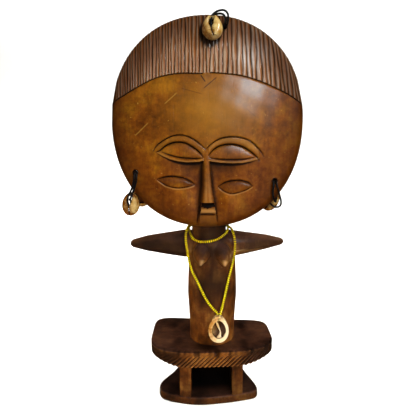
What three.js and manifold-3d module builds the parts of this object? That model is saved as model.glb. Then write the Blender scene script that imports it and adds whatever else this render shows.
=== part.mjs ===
// Akuaba figure of dark stained wood, about 305 mm tall: a flat disc head with combed hair and a carved
// doll's face on a round column body with two cone arms, sitting on a carved stool. The figure and its stool
// are one piece of wood. Cowrie shells hang on black cord at the crown and the ears, and a double wrapped
// string of small beads carries another shell. Millimetres, +Z up, the figure looks along -Y, and the origin
// is on the ground under the middle of the stool's foot.
import * as THREE from 'three';
import { mergeVertices } from 'three/addons/utils/BufferGeometryUtils.js';
import Module from 'manifold-3d';

const wasm = await Module();
wasm.setup();

// Head disc: a superellipse, a little longer below its widest line, tilted back. x runs across, h up the disc
// from its middle, and off is the height over the disc's middle plane, towards the viewer.
const headPlace = { x: -0.5, y: -6, z: 224 };
const headTilt = THREE.MathUtils.degToRad(6);
const headHalfWidth = 71.4;
const headRise = 75.8;
const headDrop = 80.1;
const headWidest = 4;
const headPower = 2.15;
// The disc's turned section from the middle of the face round the rim to the middle of the back.
const headSection = [[0, 11], [0.45, 9.9], [0.8, 7.5], [0.955, 5.6], [1, 2.4],
  [1, -2.4], [0.955, -5.5], [0.7, -7.8], [0, -9.5]];
const frontRings = 5;
// The hairline meets the disc's edge at this angle, and rows of points run from there across the disc.
const cornerAngle = 0.13;
const backSides = 18;
const hairRows = [1, 0.93, 0.62, 0];
const faceRows = [0, 0.3, 0.6, 0.85, 0.96, 1];
const faceColumns = 20;

// Hair: fine grooves combed up from a flat arched hairline, closer on the left than on the right.
const hairlineTop = 36.7;
const hairlineDrop = 20;
const hairlineHalf = 68;
const hairlinePower = 2.3;
const hairPitches = [[-69, 1.75], [-50, 2.1], [-25, 2.35], [0, 2.75], [15, 3.5], [35, 3.4], [69, 2.9]];
const hairGrooveDepth = 0.9;
const hairFan = 0.18;
const hairlineStep = 0.5;

// Face: outlines of the brows, closed lids and cheek marks, on the disc, in its own x and h.
const faceCurves = {
  leftBrowTop: [[-39.8, -19.1], [-33.5, -12.3], [-21.2, -7.5], [-9.1, -11.4], [-1.2, -18]],
  leftBrowFoot: [[-35.1, -19.7], [-27.5, -13.8], [-19.4, -12.6], [-8.5, -17.7], [-2.7, -24.2]],
  leftLidLine: [[-33.6, -19.7], [-24.5, -23], [-15.2, -24.4], [-3.7, -24.4]],
  rightBrowTop: [[-0.6, -17.4], [9.1, -10.4], [20.5, -8.9], [32.3, -12.5], [41.7, -23.1]],
  rightBrowFoot: [[1.2, -22.5], [7.9, -15.9], [18, -14.1], [28, -17], [38.4, -26.1]],
  rightLidLine: [[2.3, -24.4], [12, -25.4], [23, -25.4], [34.5, -23.9]],
};
const lidEdges = {
  left: [[-39, -19.4], [-31, -23.8], [-21.4, -26.8], [-12, -27.6], [-3, -26.3]],
  right: [[38, -25.2], [31.9, -26.8], [22, -28.1], [12, -28], [3, -26.8]],
};
const cheekMarks = [
  { tips: [[-37.3, -39.6], [-9.5, -43.9]], top: [-24, -37.7], foot: [-22.8, -46.6] },
  { tips: [[8.3, -45.5], [33.7, -44.8]], top: [21.5, -40.6], foot: [19, -50.8] },
];
const lineDepth = 1;
const lineWidth = 1.5;
const cheekDepth = 2.3;
const noseHalf = 6;
const cheekReach = 34;
const cheekFall = 34;
const noseSections = [[-19, 1.2, 0.1], [-26, 1.7, 0.3], [-45, 2.5, 1.1], [-57.7, 4.3, 2.7]];
const noseTip = -57.7;
const lipTop = -60.8;
const lipEdge = -65.2;
const mouthLine = -66.4;
const chinHalves = [6.4, 7.8];

// Neck, column body, breasts and arms.
const neckCentre = 0.8;
const neckSections = [[126, 0, 13.7, 13.7], [138, 0, 13.7, 13.6], [150, -0.6, 13.7, 13.2], [160, -2, 13, 11.2],
  [168, -3.6, 11.6, 8.4], [175, -5, 9, 5.2], [179, -6, 5, 2]];
const neckSides = 14;
const bodyCentre = 3.4;
const columnSides = 20;
const bodySection = [[0, 40], [18.5, 40], [18.5, 60], [20.1, 88], [19, 118], [18.6, 128],
  [17.2, 133.5], [14.6, 136.8], [0, 138.5]];
const armCentre = -0.9;
const armSections = [[-61.6, 1.6, 130.4], [-60, 3.1, 130.4], [-48, 6.6, 130.6], [-18, 11.5, 130.5],
  [18, 11.6, 130.4], [48, 6.1, 131.8], [60, 2.8, 132.1], [61.6, 1.5, 132.1]];
const armDepthShare = 0.87;
const breastRoots = [[-3.6, -11, 130.5], [10.2, -11, 130.5]];
const breastTips = [[-5.9, -23.2, 119.3], [12.8, -23.2, 119]];
const breastSides = 8;
const breastRadii = [5.6, 7, 6.2, 3.6, 1];

// Stool: crescent seat with a chip carved front rim, two slab legs and a foot with a rounded, tapering plan.
const seatCentre = 2.9;
const seatHalf = 50;
const seatTop = 50;
const seatTopRise = 1.2;
const seatUnder = 37;
const seatUnderRise = 7;
const seatFront = -29.8;
const seatFrontSkew = 0.055;
const seatFrontPower = 3.5;
const seatBack = 28.4;
const seatBackSkew = -0.06;
const seatBackPower = 6;
const rimPitch = 1.65;
const rimSlant = 5.6;
const rimDepth = 0.75;
const notchPitch = 9.4;
const notchDepth = 1.6;
const rimBand = 2.6;
const seatBackStations = [0.004, 0.03, 0.09, 0.2, 0.5, 0.8, 0.91, 0.97, 0.996];
const legLeft = [[-23.2, -21.9], [-13.5, -24.1]];
const legRight = [[28.6, -19], [19.6, -21.2]];
const legBack = 23;
const footOutline = [[-30.5, -21], [-10, -25.2], [12, -23.2], [30, -19.4], [40, -15.6], [41.2, -7], [34.8, 10],
  [28, 26], [16, 31], [-12, 31.5], [-24, 27], [-31, 13], [-40.4, -3], [-39.4, -15]];
const footThickness = 7;
const footEdge = 1;
const footHalf = 36;
const footSides = 24;

// Holes for the cords, on the disc.
const cordHoleRadius = 2.1;
const cordHoles = { left: [-53.1, -34.5], right: [50.1, -41.2], crown: [14.1, 69] };

// Cowrie shells with their backs cut off, so that each is a cup with a slit in its bottom. The cut is in the
// shell's own XZ plane, the slit faces -Y and the narrow end is up.
const cowrieSides = 10;
const cowrieWall = 1.7;
const slitStations = [[-0.34, 0.5], [-0.1, 1], [0.2, 1.5], [0.56, 1.6]];
const slitBow = -0.05;
const eggShape = 0.13;
const cupSection = [[1, 0], [1.0, 0.18], [0.93, 0.55], [0.74, 0.86], [0.42, 1]];
const cowries = {
  crown_cowrie: { length: 20, width: 16.4, depth: 7, at: [4.7, -8.6, 290.9], tip: -0.24, lean: -0.1, turn: 0 },
  left_ear_cowrie_front: { length: 18, width: 13.2, depth: 6, at: [-58.9, -12.4, 165.4], tip: 0, turn: 0,
    lean: 0.06 },
  left_ear_cowrie_back: { length: 17.6, width: 13, depth: 6, at: [-53.6, -4, 169.2], tip: 0, turn: Math.PI,
    lean: -0.3 },
  right_ear_cowrie: { length: 18, width: 13.6, depth: 6, at: [50.3, 0.8, 164.3], tip: 0, turn: 0, lean: 0.75 },
  pendant_cowrie: { length: 23.6, width: 16.7, depth: 6, at: [8.3, -25.1, 66.7], tip: 0, turn: Math.PI,
    lean: 0 },
};

// Cords: one thong each, folded double, from behind the disc through its hole to the fold in the shell and back.
const cordDiameter = 1.3;
const cordSides = 8;
const cordStep = 3.9;
const cordRoutes = {
  crown_cord: [
    [14.5, 7, 292], [14.5, 1.2, 292.6], [14.6, -4.8, 293.3], [15.3, -7.6, 295.4], [15.5, -8.8, 299.2],
    [14.4, -9.3, 302.6], [12.1, -9.7, 304.4], [9.2, -9.9, 304.1], [6.2, -9.9, 302.6], [4.5, -10.4, 299.9],
    [4, -11.4, 296], [4, -12.5, 291.6], [4.1, -12.7, 288.4], [4.2, -12, 286.2], [4.4, -9.9, 285.2],
    [4.5, -7.9, 286.2], [4.6, -7.1, 288.4], [4.7, -6.6, 291.6], [4.8, -5.9, 295.4], [5, -5.2, 298.6],
    [6.2, -5.6, 301.2], [8.9, -6.6, 302.5], [11.7, -7.2, 301.5], [13.3, -7.2, 298.8], [13.3, -6.6, 295.8],
    [12.75, -4.4, 293.2], [12.7, 1.2, 292.6], [12.7, 7, 292]],
  left_ear_cord: [
    [-55.2, -2.6, 171], [-55.7, -1.3, 174.4], [-56.95, -0.2, 177.4], [-56.6, 0.6, 181.4], [-55.3, 0.9, 185],
    [-54.5, -0.6, 188], [-54.45, -3.6, 189.2], [-54.45, -10, 189.7], [-54.45, -16.2, 190.3],
    [-54.45, -19, 189.4], [-54.5, -20.3, 186.6], [-55, -20.1, 183.4], [-56.3, -19.9, 179.2],
    [-58.4, -19.9, 174.8], [-59.9, -19.9, 170.8], [-60, -19.1, 167.6], [-59.7, -17.3, 165.1],
    [-59.5, -14.9, 163.3], [-59.4, -12.6, 163.8], [-59.3, -11.6, 166], [-59.2, -12.6, 168.1],
    [-59.1, -14.9, 168.8], [-58.9, -17.3, 169.4], [-58, -19.2, 171], [-57, -19.9, 173.4],
    [-55.4, -19.9, 177], [-54, -19.9, 181], [-53.1, -20.1, 184.2], [-52.75, -20.3, 187],
    [-52.7, -19, 189.4], [-52.7, -16.2, 190.3], [-52.7, -10, 189.7], [-52.7, -3.6, 189.2],
    [-52.8, -0.6, 188], [-53.6, 0.9, 185], [-54.9, 0.6, 181.4], [-55.5, -0.2, 177.4], [-54.4, -1.3, 174.4],
    [-53.6, -2.6, 171]],
  right_ear_cord: [
    [50.45, -3.1, 182.2], [50.45, -10, 183], [50.5, -16.4, 183.7], [50.8, -19.2, 182.8], [51.3, -20.4, 180],
    [52.4, -19.9, 176.8], [53.8, -18.6, 172.8], [55.2, -15.6, 168.8], [56, -12, 165.6],
    [55.8, -9.4, 163.3], [54, -8.2, 162], [51.8, -7.6, 162.1], [50.2, -7, 163.1], [49.1, -4.6, 164.1],
    [49, -2, 163.9], [49.6, 0.5, 164.3], [51.4, 1.8, 166], [53.1, 0.5, 167.7], [53.7, -2.2, 168.4],
    [53.5, -5, 168.5], [52.5, -9, 167.6], [51.4, -13.8, 167.4], [50, -18, 168.9], [48.7, -19.8, 172],
    [48.3, -20, 176], [48.55, -20.4, 180], [48.7, -19.2, 182.8], [48.75, -16.4, 183.7], [48.75, -10, 183],
    [48.75, -3.1, 182.2]],
};
const knots = { crown_knot: [13.6, 9.4, 291.8], right_ear_knot: [49.6, -0.7, 182] };
const knotRadius = 2.5;
const knotHalfDepth = 1.9;

// Beads: one strand wound twice round the neck, with the shell on the longer loop.
const beadPitch = 1.52;
const beadRadius = 1.3;
const beadEnd = 0.7;
const threadRadius = 0.45;
const beadSides = 3;
const bareThread = 5.2;
const strandRoute = [
  [8.1, -24.5, 74.5], [8, -22.9, 74.9], [7.8, -22.1, 77.2], [7.1, -21.9, 80], [3.4, -22, 84.2],
  [-0.5, -21.7, 89.6], [-4.4, -20.7, 96.7], [-8.3, -18.6, 104.7], [-12.3, -15.4, 111.6], [-14.4, -13.4, 117.4],
  [-15.5, -13.2, 123], [-16.3, -13.6, 129], [-17.1, -13, 134.4], [-17.4, -10.6, 139.4], [-16.6, -6, 143.9],
  [-14.4, 0, 146.3], [-10.6, 10.6, 146.8], [0.8, 15.6, 147.2], [12, 10.8, 146.6], [15.9, 0, 145.6],
  [14.8, -8, 142.2], [10.5, -13, 139.4], [6, -15.6, 137.6], [0.8, -16.5, 136.6], [-4.3, -16.4, 136.2],
  [-8.8, -14.9, 136.6], [-12.4, -11.2, 138.2], [-14.5, -5.5, 141.8], [-15, 1.5, 143.9], [-10.8, 11, 143.4],
  [0.8, 16, 143.4], [12.6, 10.8, 143], [18, 0.5, 143.4], [19.6, -7, 141.8], [20.7, -11.6, 138],
  [21.1, -13.4, 133.6], [20.9, -14, 129], [20.2, -14.2, 123.3], [18.7, -15.3, 115.9], [16.3, -18, 107.3],
  [14.4, -19.6, 98.9], [12.5, -20.8, 90.4], [10.9, -21.9, 84], [9.8, -24.1, 80.6], [9, -25.9, 78.5],
  [8.4, -26.1, 76]];

// Three.js helpers for closed bodies.
function body(points, index) {
  const geometry = new THREE.BufferGeometry();
  geometry.setAttribute('position', new THREE.BufferAttribute(Float32Array.from(points.flat()), 3));
  let volume = 0;
  for (let t = 0; t < index.length; t += 3) {
    const [a, b, c] = [points[index[t]], points[index[t + 1]], points[index[t + 2]]];
    volume += a[0] * (b[1] * c[2] - b[2] * c[1]) + a[1] * (b[2] * c[0] - b[0] * c[2])
      + a[2] * (b[0] * c[1] - b[1] * c[0]);
  }
  geometry.setIndex(volume < 0 ? index.toReversed() : index);
  return geometry;
}

// Joins rings of equal length into one body, closed by a fan at both ends, or round on itself.
function loft(rings, roundOnItself = false) {
  const n = rings[0].length;
  const index = [];
  const bands = roundOnItself ? rings.length : rings.length - 1;
  for (let k = 0; k < bands; k++) {
    const next = (k + 1) % rings.length;
    for (let i = 0; i < n; i++) {
      const j = (i + 1) % n;
      index.push(k * n + i, k * n + j, next * n + j, k * n + i, next * n + j, next * n + i);
    }
  }
  if (!roundOnItself) {
    const last = (rings.length - 1) * n;
    for (let i = 1; i < n - 1; i++) {
      index.push(0, i + 1, i, last, last + i, last + i + 1);
    }
  }
  return body(rings.flat(), index);
}

function solid(geometry) {
  const plain = geometry.clone();
  plain.deleteAttribute('normal');
  plain.deleteAttribute('uv');
  const merged = mergeVertices(plain, 1e-4);
  return new wasm.Manifold(new wasm.Mesh({
    numProp: 3,
    vertProperties: Float32Array.from(merged.attributes.position.array),
    triVerts: Uint32Array.from(merged.index.array),
  }));
}

function fromSolid(manifold) {
  const mesh = manifold.getMesh();
  const geometry = new THREE.BufferGeometry();
  geometry.setAttribute('position', new THREE.BufferAttribute(mesh.vertProperties, 3));
  geometry.setIndex(new THREE.BufferAttribute(mesh.triVerts, 1));
  return geometry;
}

const smooth = (t) => THREE.MathUtils.smoothstep(t, 0, 1);

function between(table, at) {
  for (let i = 1; i < table.length; i++) {
    if (at <= table[i][0]) {
      const [[a, from], [b, to]] = [table[i - 1], table[i]];
      return from + (to - from) * (at - a) / (b - a);
    }
  }
  return table.at(-1)[1];
}

// The disc head.
function onHead(x, h, off) {
  return [headPlace.x + x,
    headPlace.y + h * Math.sin(headTilt) - off * Math.cos(headTilt),
    headPlace.z + h * Math.cos(headTilt) + off * Math.sin(headTilt)];
}

function discShare(x, h) {
  const reach = h > headWidest ? headRise : headDrop;
  return (Math.abs(x / headHalfWidth) ** headPower
    + Math.abs((h - headWidest) / reach) ** headPower) ** (1 / headPower);
}

const faceOff = (x, h) => between(headSection.slice(0, frontRings), discShare(x, h));

const hairline = (x) => hairlineTop - hairlineDrop * Math.abs(x / hairlineHalf) ** hairlinePower;

// The disc's outline at an angle from +X, at a share of its full size.
function outlineAt(angle, share) {
  const across = Math.sign(Math.cos(angle)) * Math.abs(Math.cos(angle)) ** (2 / headPower);
  const up = Math.sign(Math.sin(angle)) * Math.abs(Math.sin(angle)) ** (2 / headPower);
  return [share * across * headHalfWidth, headWidest + share * up * (up > 0 ? headRise : headDrop)];
}

// Fills the strip between two rows of points that both run along +X.
function zip(index, a, b, place) {
  let [i, j] = [0, 0];
  const fill = (...corners) => {
    if (new Set(corners).size === 3) {
      index.push(...corners);
    }
  };
  while (i < a.length - 1 || j < b.length - 1) {
    if (j === b.length - 1 || (i < a.length - 1 && place(a[i + 1]) <= place(b[j + 1]))) {
      fill(a[i], b[j], a[i + 1]);
      i++;
    } else {
      fill(a[i], b[j], b[j + 1]);
      j++;
    }
  }
}

// Where the hair grooves and the ridges between them meet the hairline.
function hairColumns() {
  const columns = [];
  for (let x = hairPitches[0][0]; x < hairPitches.at(-1)[0]; x += between(hairPitches, x)) {
    columns.push({ x, sunk: 1 }, { x: x + between(hairPitches, x) / 2, sunk: 0 });
  }
  return columns;
}

// Follows a groove up from the hairline, leaning with the fan of the hair, to the disc's edge.
function hairReach(x) {
  const lean = x > 0 ? -hairFan * (x / hairlineHalf) ** 2 : 0;
  let [low, high] = [0, 90];
  while (high - low > 0.01) {
    const middle = (low + high) / 2;
    if (discShare(x + lean * middle, hairline(x) + middle) < 1) {
      low = middle;
    } else {
      high = middle;
    }
  }
  return { length: low, lean };
}

function headDisc() {
  const points = [];
  const index = [];
  const row = (list) => list.map((p) => points.push(p) - 1);
  const x = (i) => points[i][0];
  const rimOff = headSection[frontRings - 1][1];
  const [cornerX, cornerH] = outlineAt(cornerAngle, 1);
  const frontCorners = row([onHead(-cornerX, cornerH, rimOff), onHead(cornerX, cornerH, rimOff)]);
  const ended = (list) => [frontCorners[0], ...row(list), frontCorners[1]];
  const strips = [];

  // The back, from the lower edge up: the lower arcs, a middle row and the upper arcs.
  const arc = (from, to, share, off) => Array.from({ length: backSides + 1 }, (_, k) => {
    const [ax, ah] = outlineAt(from + (to - from) * k / backSides, share);
    return onHead(ax, ah, off);
  });
  const backRings = headSection.slice(frontRings, -1);
  const lower = backRings.map(([share, off]) =>
    row(arc(Math.PI - cornerAngle, 2 * Math.PI + cornerAngle, share, off)));
  const upper = backRings.map(([share, off], k) => [lower[k][0],
    ...row(arc(Math.PI - cornerAngle, cornerAngle, share, off).slice(1, -1)), lower[k].at(-1)]);
  const middle = [lower.at(-1)[0], ...row([-0.4, 0, 0.4].map((share) =>
    onHead(share * headHalfWidth, headWidest, headSection.at(-1)[1] + 3 * share ** 2))), lower.at(-1).at(-1)];

  // The hair, from the edge down to the hairline, and the face below it.
  const columns = hairColumns();
  for (const up of hairRows) {
    strips.push(ended(columns.map((column) => {
      const { length, lean } = hairReach(column.x);
      const h = hairline(column.x) + up * length;
      const hx = column.x + lean * up * length;
      return onHead(hx, h, faceOff(hx, h) - hairGrooveDepth * column.sunk);
    })));
  }
  for (const down of faceRows) {
    const list = [];
    for (let k = 1; k < faceColumns; k++) {
      const share = k / faceColumns;
      const topX = -cornerX * Math.cos(Math.PI * share);
      const topH = hairline(topX) - hairlineStep;
      const [footX, footH] = outlineAt(Math.PI - cornerAngle + share * (Math.PI + 2 * cornerAngle), 1);
      const [px, ph] = [topX + (footX - topX) * down, topH + (footH - topH) * down];
      list.push(onHead(px, ph, faceOff(px, ph)));
    }
    strips.push(ended(list));
  }
  const around = [...upper.toReversed(), ...strips, ...lower];
  around.slice(1).forEach((next, k) => zip(index, around[k], next, x));
  zip(index, lower.at(-1), middle, x);
  zip(index, middle, upper.at(-1), x);
  return body(points, index);
}

// A V shaped cut along a line on the face: each station is [x, h, width, depth].
function gouge(stations, clearance = 0.6) {
  const rings = stations.map(([x, h, width, depth], i) => {
    const [ax, ah] = stations[Math.max(0, i - 1)];
    const [bx, bh] = stations[Math.min(stations.length - 1, i + 1)];
    const length = Math.hypot(bx - ax, bh - ah);
    const half = width / 2 * (1 + clearance / depth);
    const [sx, sh] = [-(bh - ah) / length * half, (bx - ax) / length * half];
    const off = faceOff(x, h);
    return [onHead(x, h, off - depth), onHead(x + sx, h + sh, off + clearance),
      onHead(x - sx, h - sh, off + clearance)];
  });
  return solid(loft(rings));
}

function lineCut(points, width, depth, steps) {
  const curve = new THREE.SplineCurve(points.map(([x, h]) => new THREE.Vector2(x, h)));
  return gouge(curve.getPoints(steps).map(({ x, y }, i) => {
    const taper = Math.min(1, 0.35 + 2.5 * Math.min(i, steps - i) / steps);
    return [x, y, width * taper, depth * taper];
  }));
}

// The sunk cheek beside the nose: deepest under the lid and beside the nose, running out to the face.
function cheekCut(side) {
  const edge = new THREE.SplineCurve(lidEdges[side].map(([x, h]) => new THREE.Vector2(x, h)));
  const columns = 5;
  const rows = 4;
  const low = [];
  const high = [];
  for (let i = 0; i <= columns; i++) {
    const top = edge.getPoint(i / columns);
    const out = smooth((Math.abs(top.x) - noseHalf) / cheekReach);
    for (let j = 0; j <= rows; j++) {
      const h = top.y - cheekFall * (j / rows);
      const down = smooth(j / rows);
      const beside = 1 - smooth((Math.abs(top.x) - noseHalf) / 9);
      const depth = cheekDepth * Math.max((1 - out) * (1 - down), beside * (1 - 0.25 * j / rows));
      low.push(onHead(top.x, h, faceOff(top.x, h) - Math.max(depth, 0.01)));
      high.push(onHead(top.x, h, faceOff(top.x, h) + 2));
    }
  }
  const n = low.length;
  const index = [];
  const at = (i, j) => i * (rows + 1) + j;
  for (let i = 0; i < columns; i++) {
    for (let j = 0; j < rows; j++) {
      const quad = [at(i, j), at(i + 1, j), at(i + 1, j + 1), at(i, j + 1)];
      index.push(quad[0], quad[1], quad[2], quad[0], quad[2], quad[3]);
      index.push(n + quad[0], n + quad[2], n + quad[1], n + quad[0], n + quad[3], n + quad[2]);
    }
  }
  const wall = (a, b) => index.push(a, n + b, b, a, n + a, n + b);
  for (let i = 0; i < columns; i++) {
    wall(at(i, 0), at(i + 1, 0));
    wall(at(i + 1, rows), at(i, rows));
  }
  for (let j = 0; j < rows; j++) {
    wall(at(columns, j), at(columns, j + 1));
    wall(at(0, j + 1), at(0, j));
  }
  return solid(body([...low, ...high], index));
}

function nose() {
  return solid(loft(noseSections.map(([h, half, lift]) => {
    const off = faceOff(0, h);
    const foot = Math.min(noseHalf, half + 3.2);
    return [onHead(-foot, h, off - 3.5), onHead(-half, h, off + lift), onHead(half, h, off + lift),
      onHead(foot, h, off - 3.5)];
  })));
}

// The deep notch under the nose, whose lower side is the front of the upper lip.
function lipCut() {
  const section = [[noseTip, 6], [noseTip, -2.6], [lipTop, -2.4], [-63, -0.6], [lipEdge, 0.3], [lipEdge, 6]];
  return solid(loft([-5.7, 5.9].map((x) => section.map(([h, off]) => onHead(x, h, faceOff(0, h) + off)))));
}

function faceCuts() {
  const cuts = Object.values(faceCurves).map((points) => lineCut(points, lineWidth, lineDepth, 5));
  for (const { tips, top, foot } of cheekMarks) {
    cuts.push(lineCut([tips[0], top, tips[1]], lineWidth, lineDepth, 4));
    cuts.push(lineCut([tips[0], foot, tips[1]], lineWidth, lineDepth, 4));
  }
  cuts.push(gouge([[-5.9, mouthLine, lineWidth, 1.4], [6.3, mouthLine, lineWidth, 1.4]]));
  for (const side of [-1, 1]) {
    cuts.push(gouge([[side * chinHalves[0], -59, 1.6, 1.3], [side * chinHalves[1], -74, 1.6, 1.3]], 2));
  }
  return cuts;
}

function cordHole([x, h]) {
  const hole = new THREE.CylinderGeometry(cordHoleRadius, cordHoleRadius, 40, 8);
  hole.rotateX(-headTilt);
  hole.translate(...onHead(x, h, 0));
  return solid(hole);
}

// Neck, leaning forward behind the disc and running out up its back.
function neck() {
  const rings = neckSections.map(([z, y, across, depth]) => circle(neckSides, (cos, sin) =>
    [neckCentre + across * cos, y + depth * sin, z]));
  return solid(loft(rings));
}

function circle(count, place) {
  return Array.from({ length: count }, (_, i) => {
    const angle = 2 * Math.PI * i / count;
    return place(Math.cos(angle), Math.sin(angle));
  });
}

function column() {
  const lathe = new THREE.LatheGeometry(bodySection.map(([r, z]) => new THREE.Vector2(r, z)), columnSides);
  lathe.rotateX(Math.PI / 2);
  lathe.translate(bodyCentre, 0, 0);
  return solid(lathe);
}

function arms() {
  return solid(loft(armSections.map(([x, high, z]) => {
    const deep = high * armDepthShare;
    return [[0, 1], [-0.42, 0.86], [-1, 0.04], [-0.9, -0.22], [-0.42, -0.84], [0, -1], [0.5, -0.84], [0.94, -0.2],
      [0.94, 0.2], [0.5, 0.84]].map(([y, up]) => [armCentre + x, y * deep, z + up * high]);
  })));
}

function breast(root, tip) {
  const from = new THREE.Vector3(...root);
  const to = new THREE.Vector3(...tip);
  const along = to.clone().sub(from).normalize();
  const side = new THREE.Vector3(1, 0, 0);
  const up = side.clone().cross(along).normalize();
  return solid(loft(breastRadii.map((radius, k) => {
    const centre = from.clone().lerp(to, k / (breastRadii.length - 1));
    return circle(breastSides, (cos, sin) => centre.clone().addScaledVector(side, radius * cos)
      .addScaledVector(up, radius * sin).toArray());
  })));
}

// The stool's seat: the front rim is a row of slanted cuts between its top and bottom edges.
function seatEdge(x, front) {
  const share = Math.min(1, Math.abs((x - seatCentre) / seatHalf));
  const power = front ? seatFrontPower : seatBackPower;
  const full = front ? seatFront + seatFrontSkew * x : seatBack + seatBackSkew * x;
  return full * (1 - share ** power) ** (1 / power);
}

const seatTopAt = (x) => seatTop + seatTopRise * ((x - seatCentre) / seatHalf) ** 2;
const seatUnderAt = (x) => seatUnder + seatUnderRise * smooth((Math.abs(x - seatCentre) - 22) / 30);

function seat() {
  const points = [];
  const row = (list) => list.map((p) => points.push(p) - 1);
  const count = 2 * Math.round(2 * (seatHalf - 1) / rimPitch);
  const [start, end] = [seatCentre - seatHalf, seatCentre + seatHalf];
  const frontTop = [];
  const frontUnder = [];
  for (let i = 1; i < count; i++) {
    const along = i / count;
    const fade = Math.min(1, 5 * along, 5 * (1 - along));
    const cut = i % 2 ? rimDepth * fade : 0;
    const under = start + (end - start) * along;
    const top = under + rimSlant * fade;
    const phase = ((top / notchPitch) % 1 + 1) % 1;
    const notch = notchDepth * fade * Math.max(0, 1 - Math.abs(phase - 0.5) * 4);
    frontTop.push([top, seatEdge(top, true) + cut, seatTopAt(top) - notch]);
    frontUnder.push([under, seatEdge(under, true) * 0.985 + cut, seatUnderAt(under)]);
  }
  const backRow = (z, inset) => seatBackStations.map((s) => {
    const x = start + (end - start) * s;
    return [x, seatEdge(x, false) - inset, z(x)];
  });
  const top = row([[start, 0, seatTopAt(start)], ...frontTop, [end, 0, seatTopAt(end)]]);
  const under = row([[start + 0.4, 0, seatUnderAt(start)], ...frontUnder, [end - 0.4, 0, seatUnderAt(end)]]);
  const backUnder = row(backRow(seatUnderAt, 0.8));
  const backTop = row(backRow(seatTopAt, 0));
  const band = row(seatBackStations.map((s) => {
    const x = start + (end - start) * s;
    return [x, Math.min(0, seatEdge(x, true) + rimBand), seatTopAt(x)];
  }));
  const index = [];
  const x = (i) => points[i][0];
  zip(index, band, top, x);
  zip(index, top, under, (i) => i % top.length);
  zip(index, under, [under[0], ...backUnder, under.at(-1)], x);
  zip(index, backUnder, backTop, x);
  zip(index, backTop, band, x);
  index.push(backTop[0], top[0], band[0], top.at(-1), backTop.at(-1), band.at(-1));
  index.push(under[0], top[0], backTop[0], under[0], backTop[0], backUnder[0]);
  index.push(top.at(-1), under.at(-1), backUnder.at(-1), top.at(-1), backUnder.at(-1), backTop.at(-1));
  return solid(body(points, index));
}

function leg([[outer, outerFront], [inner, innerFront]]) {
  const plan = [[outer, outerFront], [inner, innerFront], [inner, legBack], [outer, legBack]];
  return solid(loft([footThickness - 2, seatUnder + 3].map((z) => plan.map(([x, y]) => [x, y, z]))));
}

function foot() {
  const outline = new THREE.CatmullRomCurve3(footOutline.map(([x, y]) => new THREE.Vector3(x, y, 0)), true);
  const plan = outline.getPoints(footSides).slice(1);
  const rings = [[0, 0.6], [footEdge, 0], [footThickness - footEdge, 0], [footThickness, footEdge]];
  return solid(loft(rings.map(([z, inset]) => plan.map(({ x, y }) => {
    const share = 1 - inset / footHalf;
    return [x * share, y * share, z];
  }))));
}

function figure() {
  let wood = headDisc();
  const cuts = [...faceCuts(), cheekCut('left'), cheekCut('right')];
  wood = cuts.reduce((left, cut) => left.subtract(cut), solid(wood)).add(nose()).subtract(lipCut());
  const rest = [neck(), column(), arms(), seat(), leg(legLeft), leg(legRight), foot(),
    ...breastRoots.map((root, i) => breast(root, breastTips[i]))];
  wood = rest.reduce((all, part) => all.add(part), wood);
  return Object.values(cordHoles).reduce((left, hole) => left.subtract(cordHole(hole)), wood);
}

// A cowrie: an egg shaped cup, cut flat across its back, with a slit from its narrow end almost to the other.
function cowrieCup(length, width, depth, open) {
  const rings = [];
  for (const [share, down] of cupSection) {
    rings.push(circle(cowrieSides, (cos, sin) => {
      const z = share * sin * length / 2;
      return [share * cos * width / 2 * (1 - eggShape * sin), open - (open + depth) * down, z];
    }));
  }
  return solid(loft(rings));
}

function cowrie({ length, width, depth }, columella) {
  const inside = cowrieCup(length - 2.4 * cowrieWall, width - 2 * cowrieWall, depth - cowrieWall, 1);
  const slit = loft(slitStations.map(([up, half]) => {
    const x = slitBow * width * (1 - (2.4 * up) ** 2);
    return [[x - half, -depth - 1], [x + half, -depth - 1], [x + half, -0.3 * depth],
      [x - half, -0.3 * depth]].map(([px, y]) => [px, y, up * length]);
  }));
  let shell = cowrieCup(length, width, depth, 0).subtract(inside).subtract(solid(slit));
  if (columella) {
    const strip = [[-2.2, 5.4], [-0.4, 1], [1.2, -3], [2.6, -8.6]].map(([x, z], k) => {
      const half = [0.5, 0.9, 1, 1.4][k];
      return [[x - half, -depth + 1.1, z], [x + half, -depth + 1.1, z], [x + half, -2.4, z], [x - half, -2.4, z]];
    });
    shell = shell.add(solid(loft(strip)));
  }
  return fromSolid(shell);
}

function cord(route) {
  const path = new THREE.CatmullRomCurve3(route.map((p) => new THREE.Vector3(...p)));
  const section = new THREE.Shape(circle(cordSides, (cos, sin) =>
    new THREE.Vector2(cordDiameter / 2 * cos, cordDiameter / 2 * sin)));
  const steps = Math.round(path.getLength() / cordStep);
  return new THREE.ExtrudeGeometry(section, { steps, bevelEnabled: false, extrudePath: path });
}

// The bead strand: each bead is fat in the middle and meets the next at its thinner end.
function strand() {
  const path = new THREE.CatmullRomCurve3(strandRoute.map((p) => new THREE.Vector3(...p)), true);
  const stations = 2 * Math.round(path.getLength() / beadPitch);
  path.arcLengthDivisions = 1000;
  const frames = path.computeFrenetFrames(stations, true);
  return loft(Array.from({ length: stations }, (_, k) => {
    const centre = path.getPointAt(k / stations);
    const fromLoop = Math.min(k, stations - k) * beadPitch / 2;
    const radius = fromLoop < bareThread ? threadRadius : (k % 2 ? beadRadius : beadEnd);
    return circle(beadSides, (cos, sin) => centre.clone().addScaledVector(frames.normals[k], radius * cos)
      .addScaledVector(frames.binormals[k], radius * sin).toArray());
  }), true);
}

const group = new THREE.Group();

function add(name, geometry, color, roughness) {
  const mesh = new THREE.Mesh(geometry, new THREE.MeshStandardMaterial({ color, roughness, metalness: 0 }));
  mesh.name = name;
  group.add(mesh);
  return mesh;
}

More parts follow.
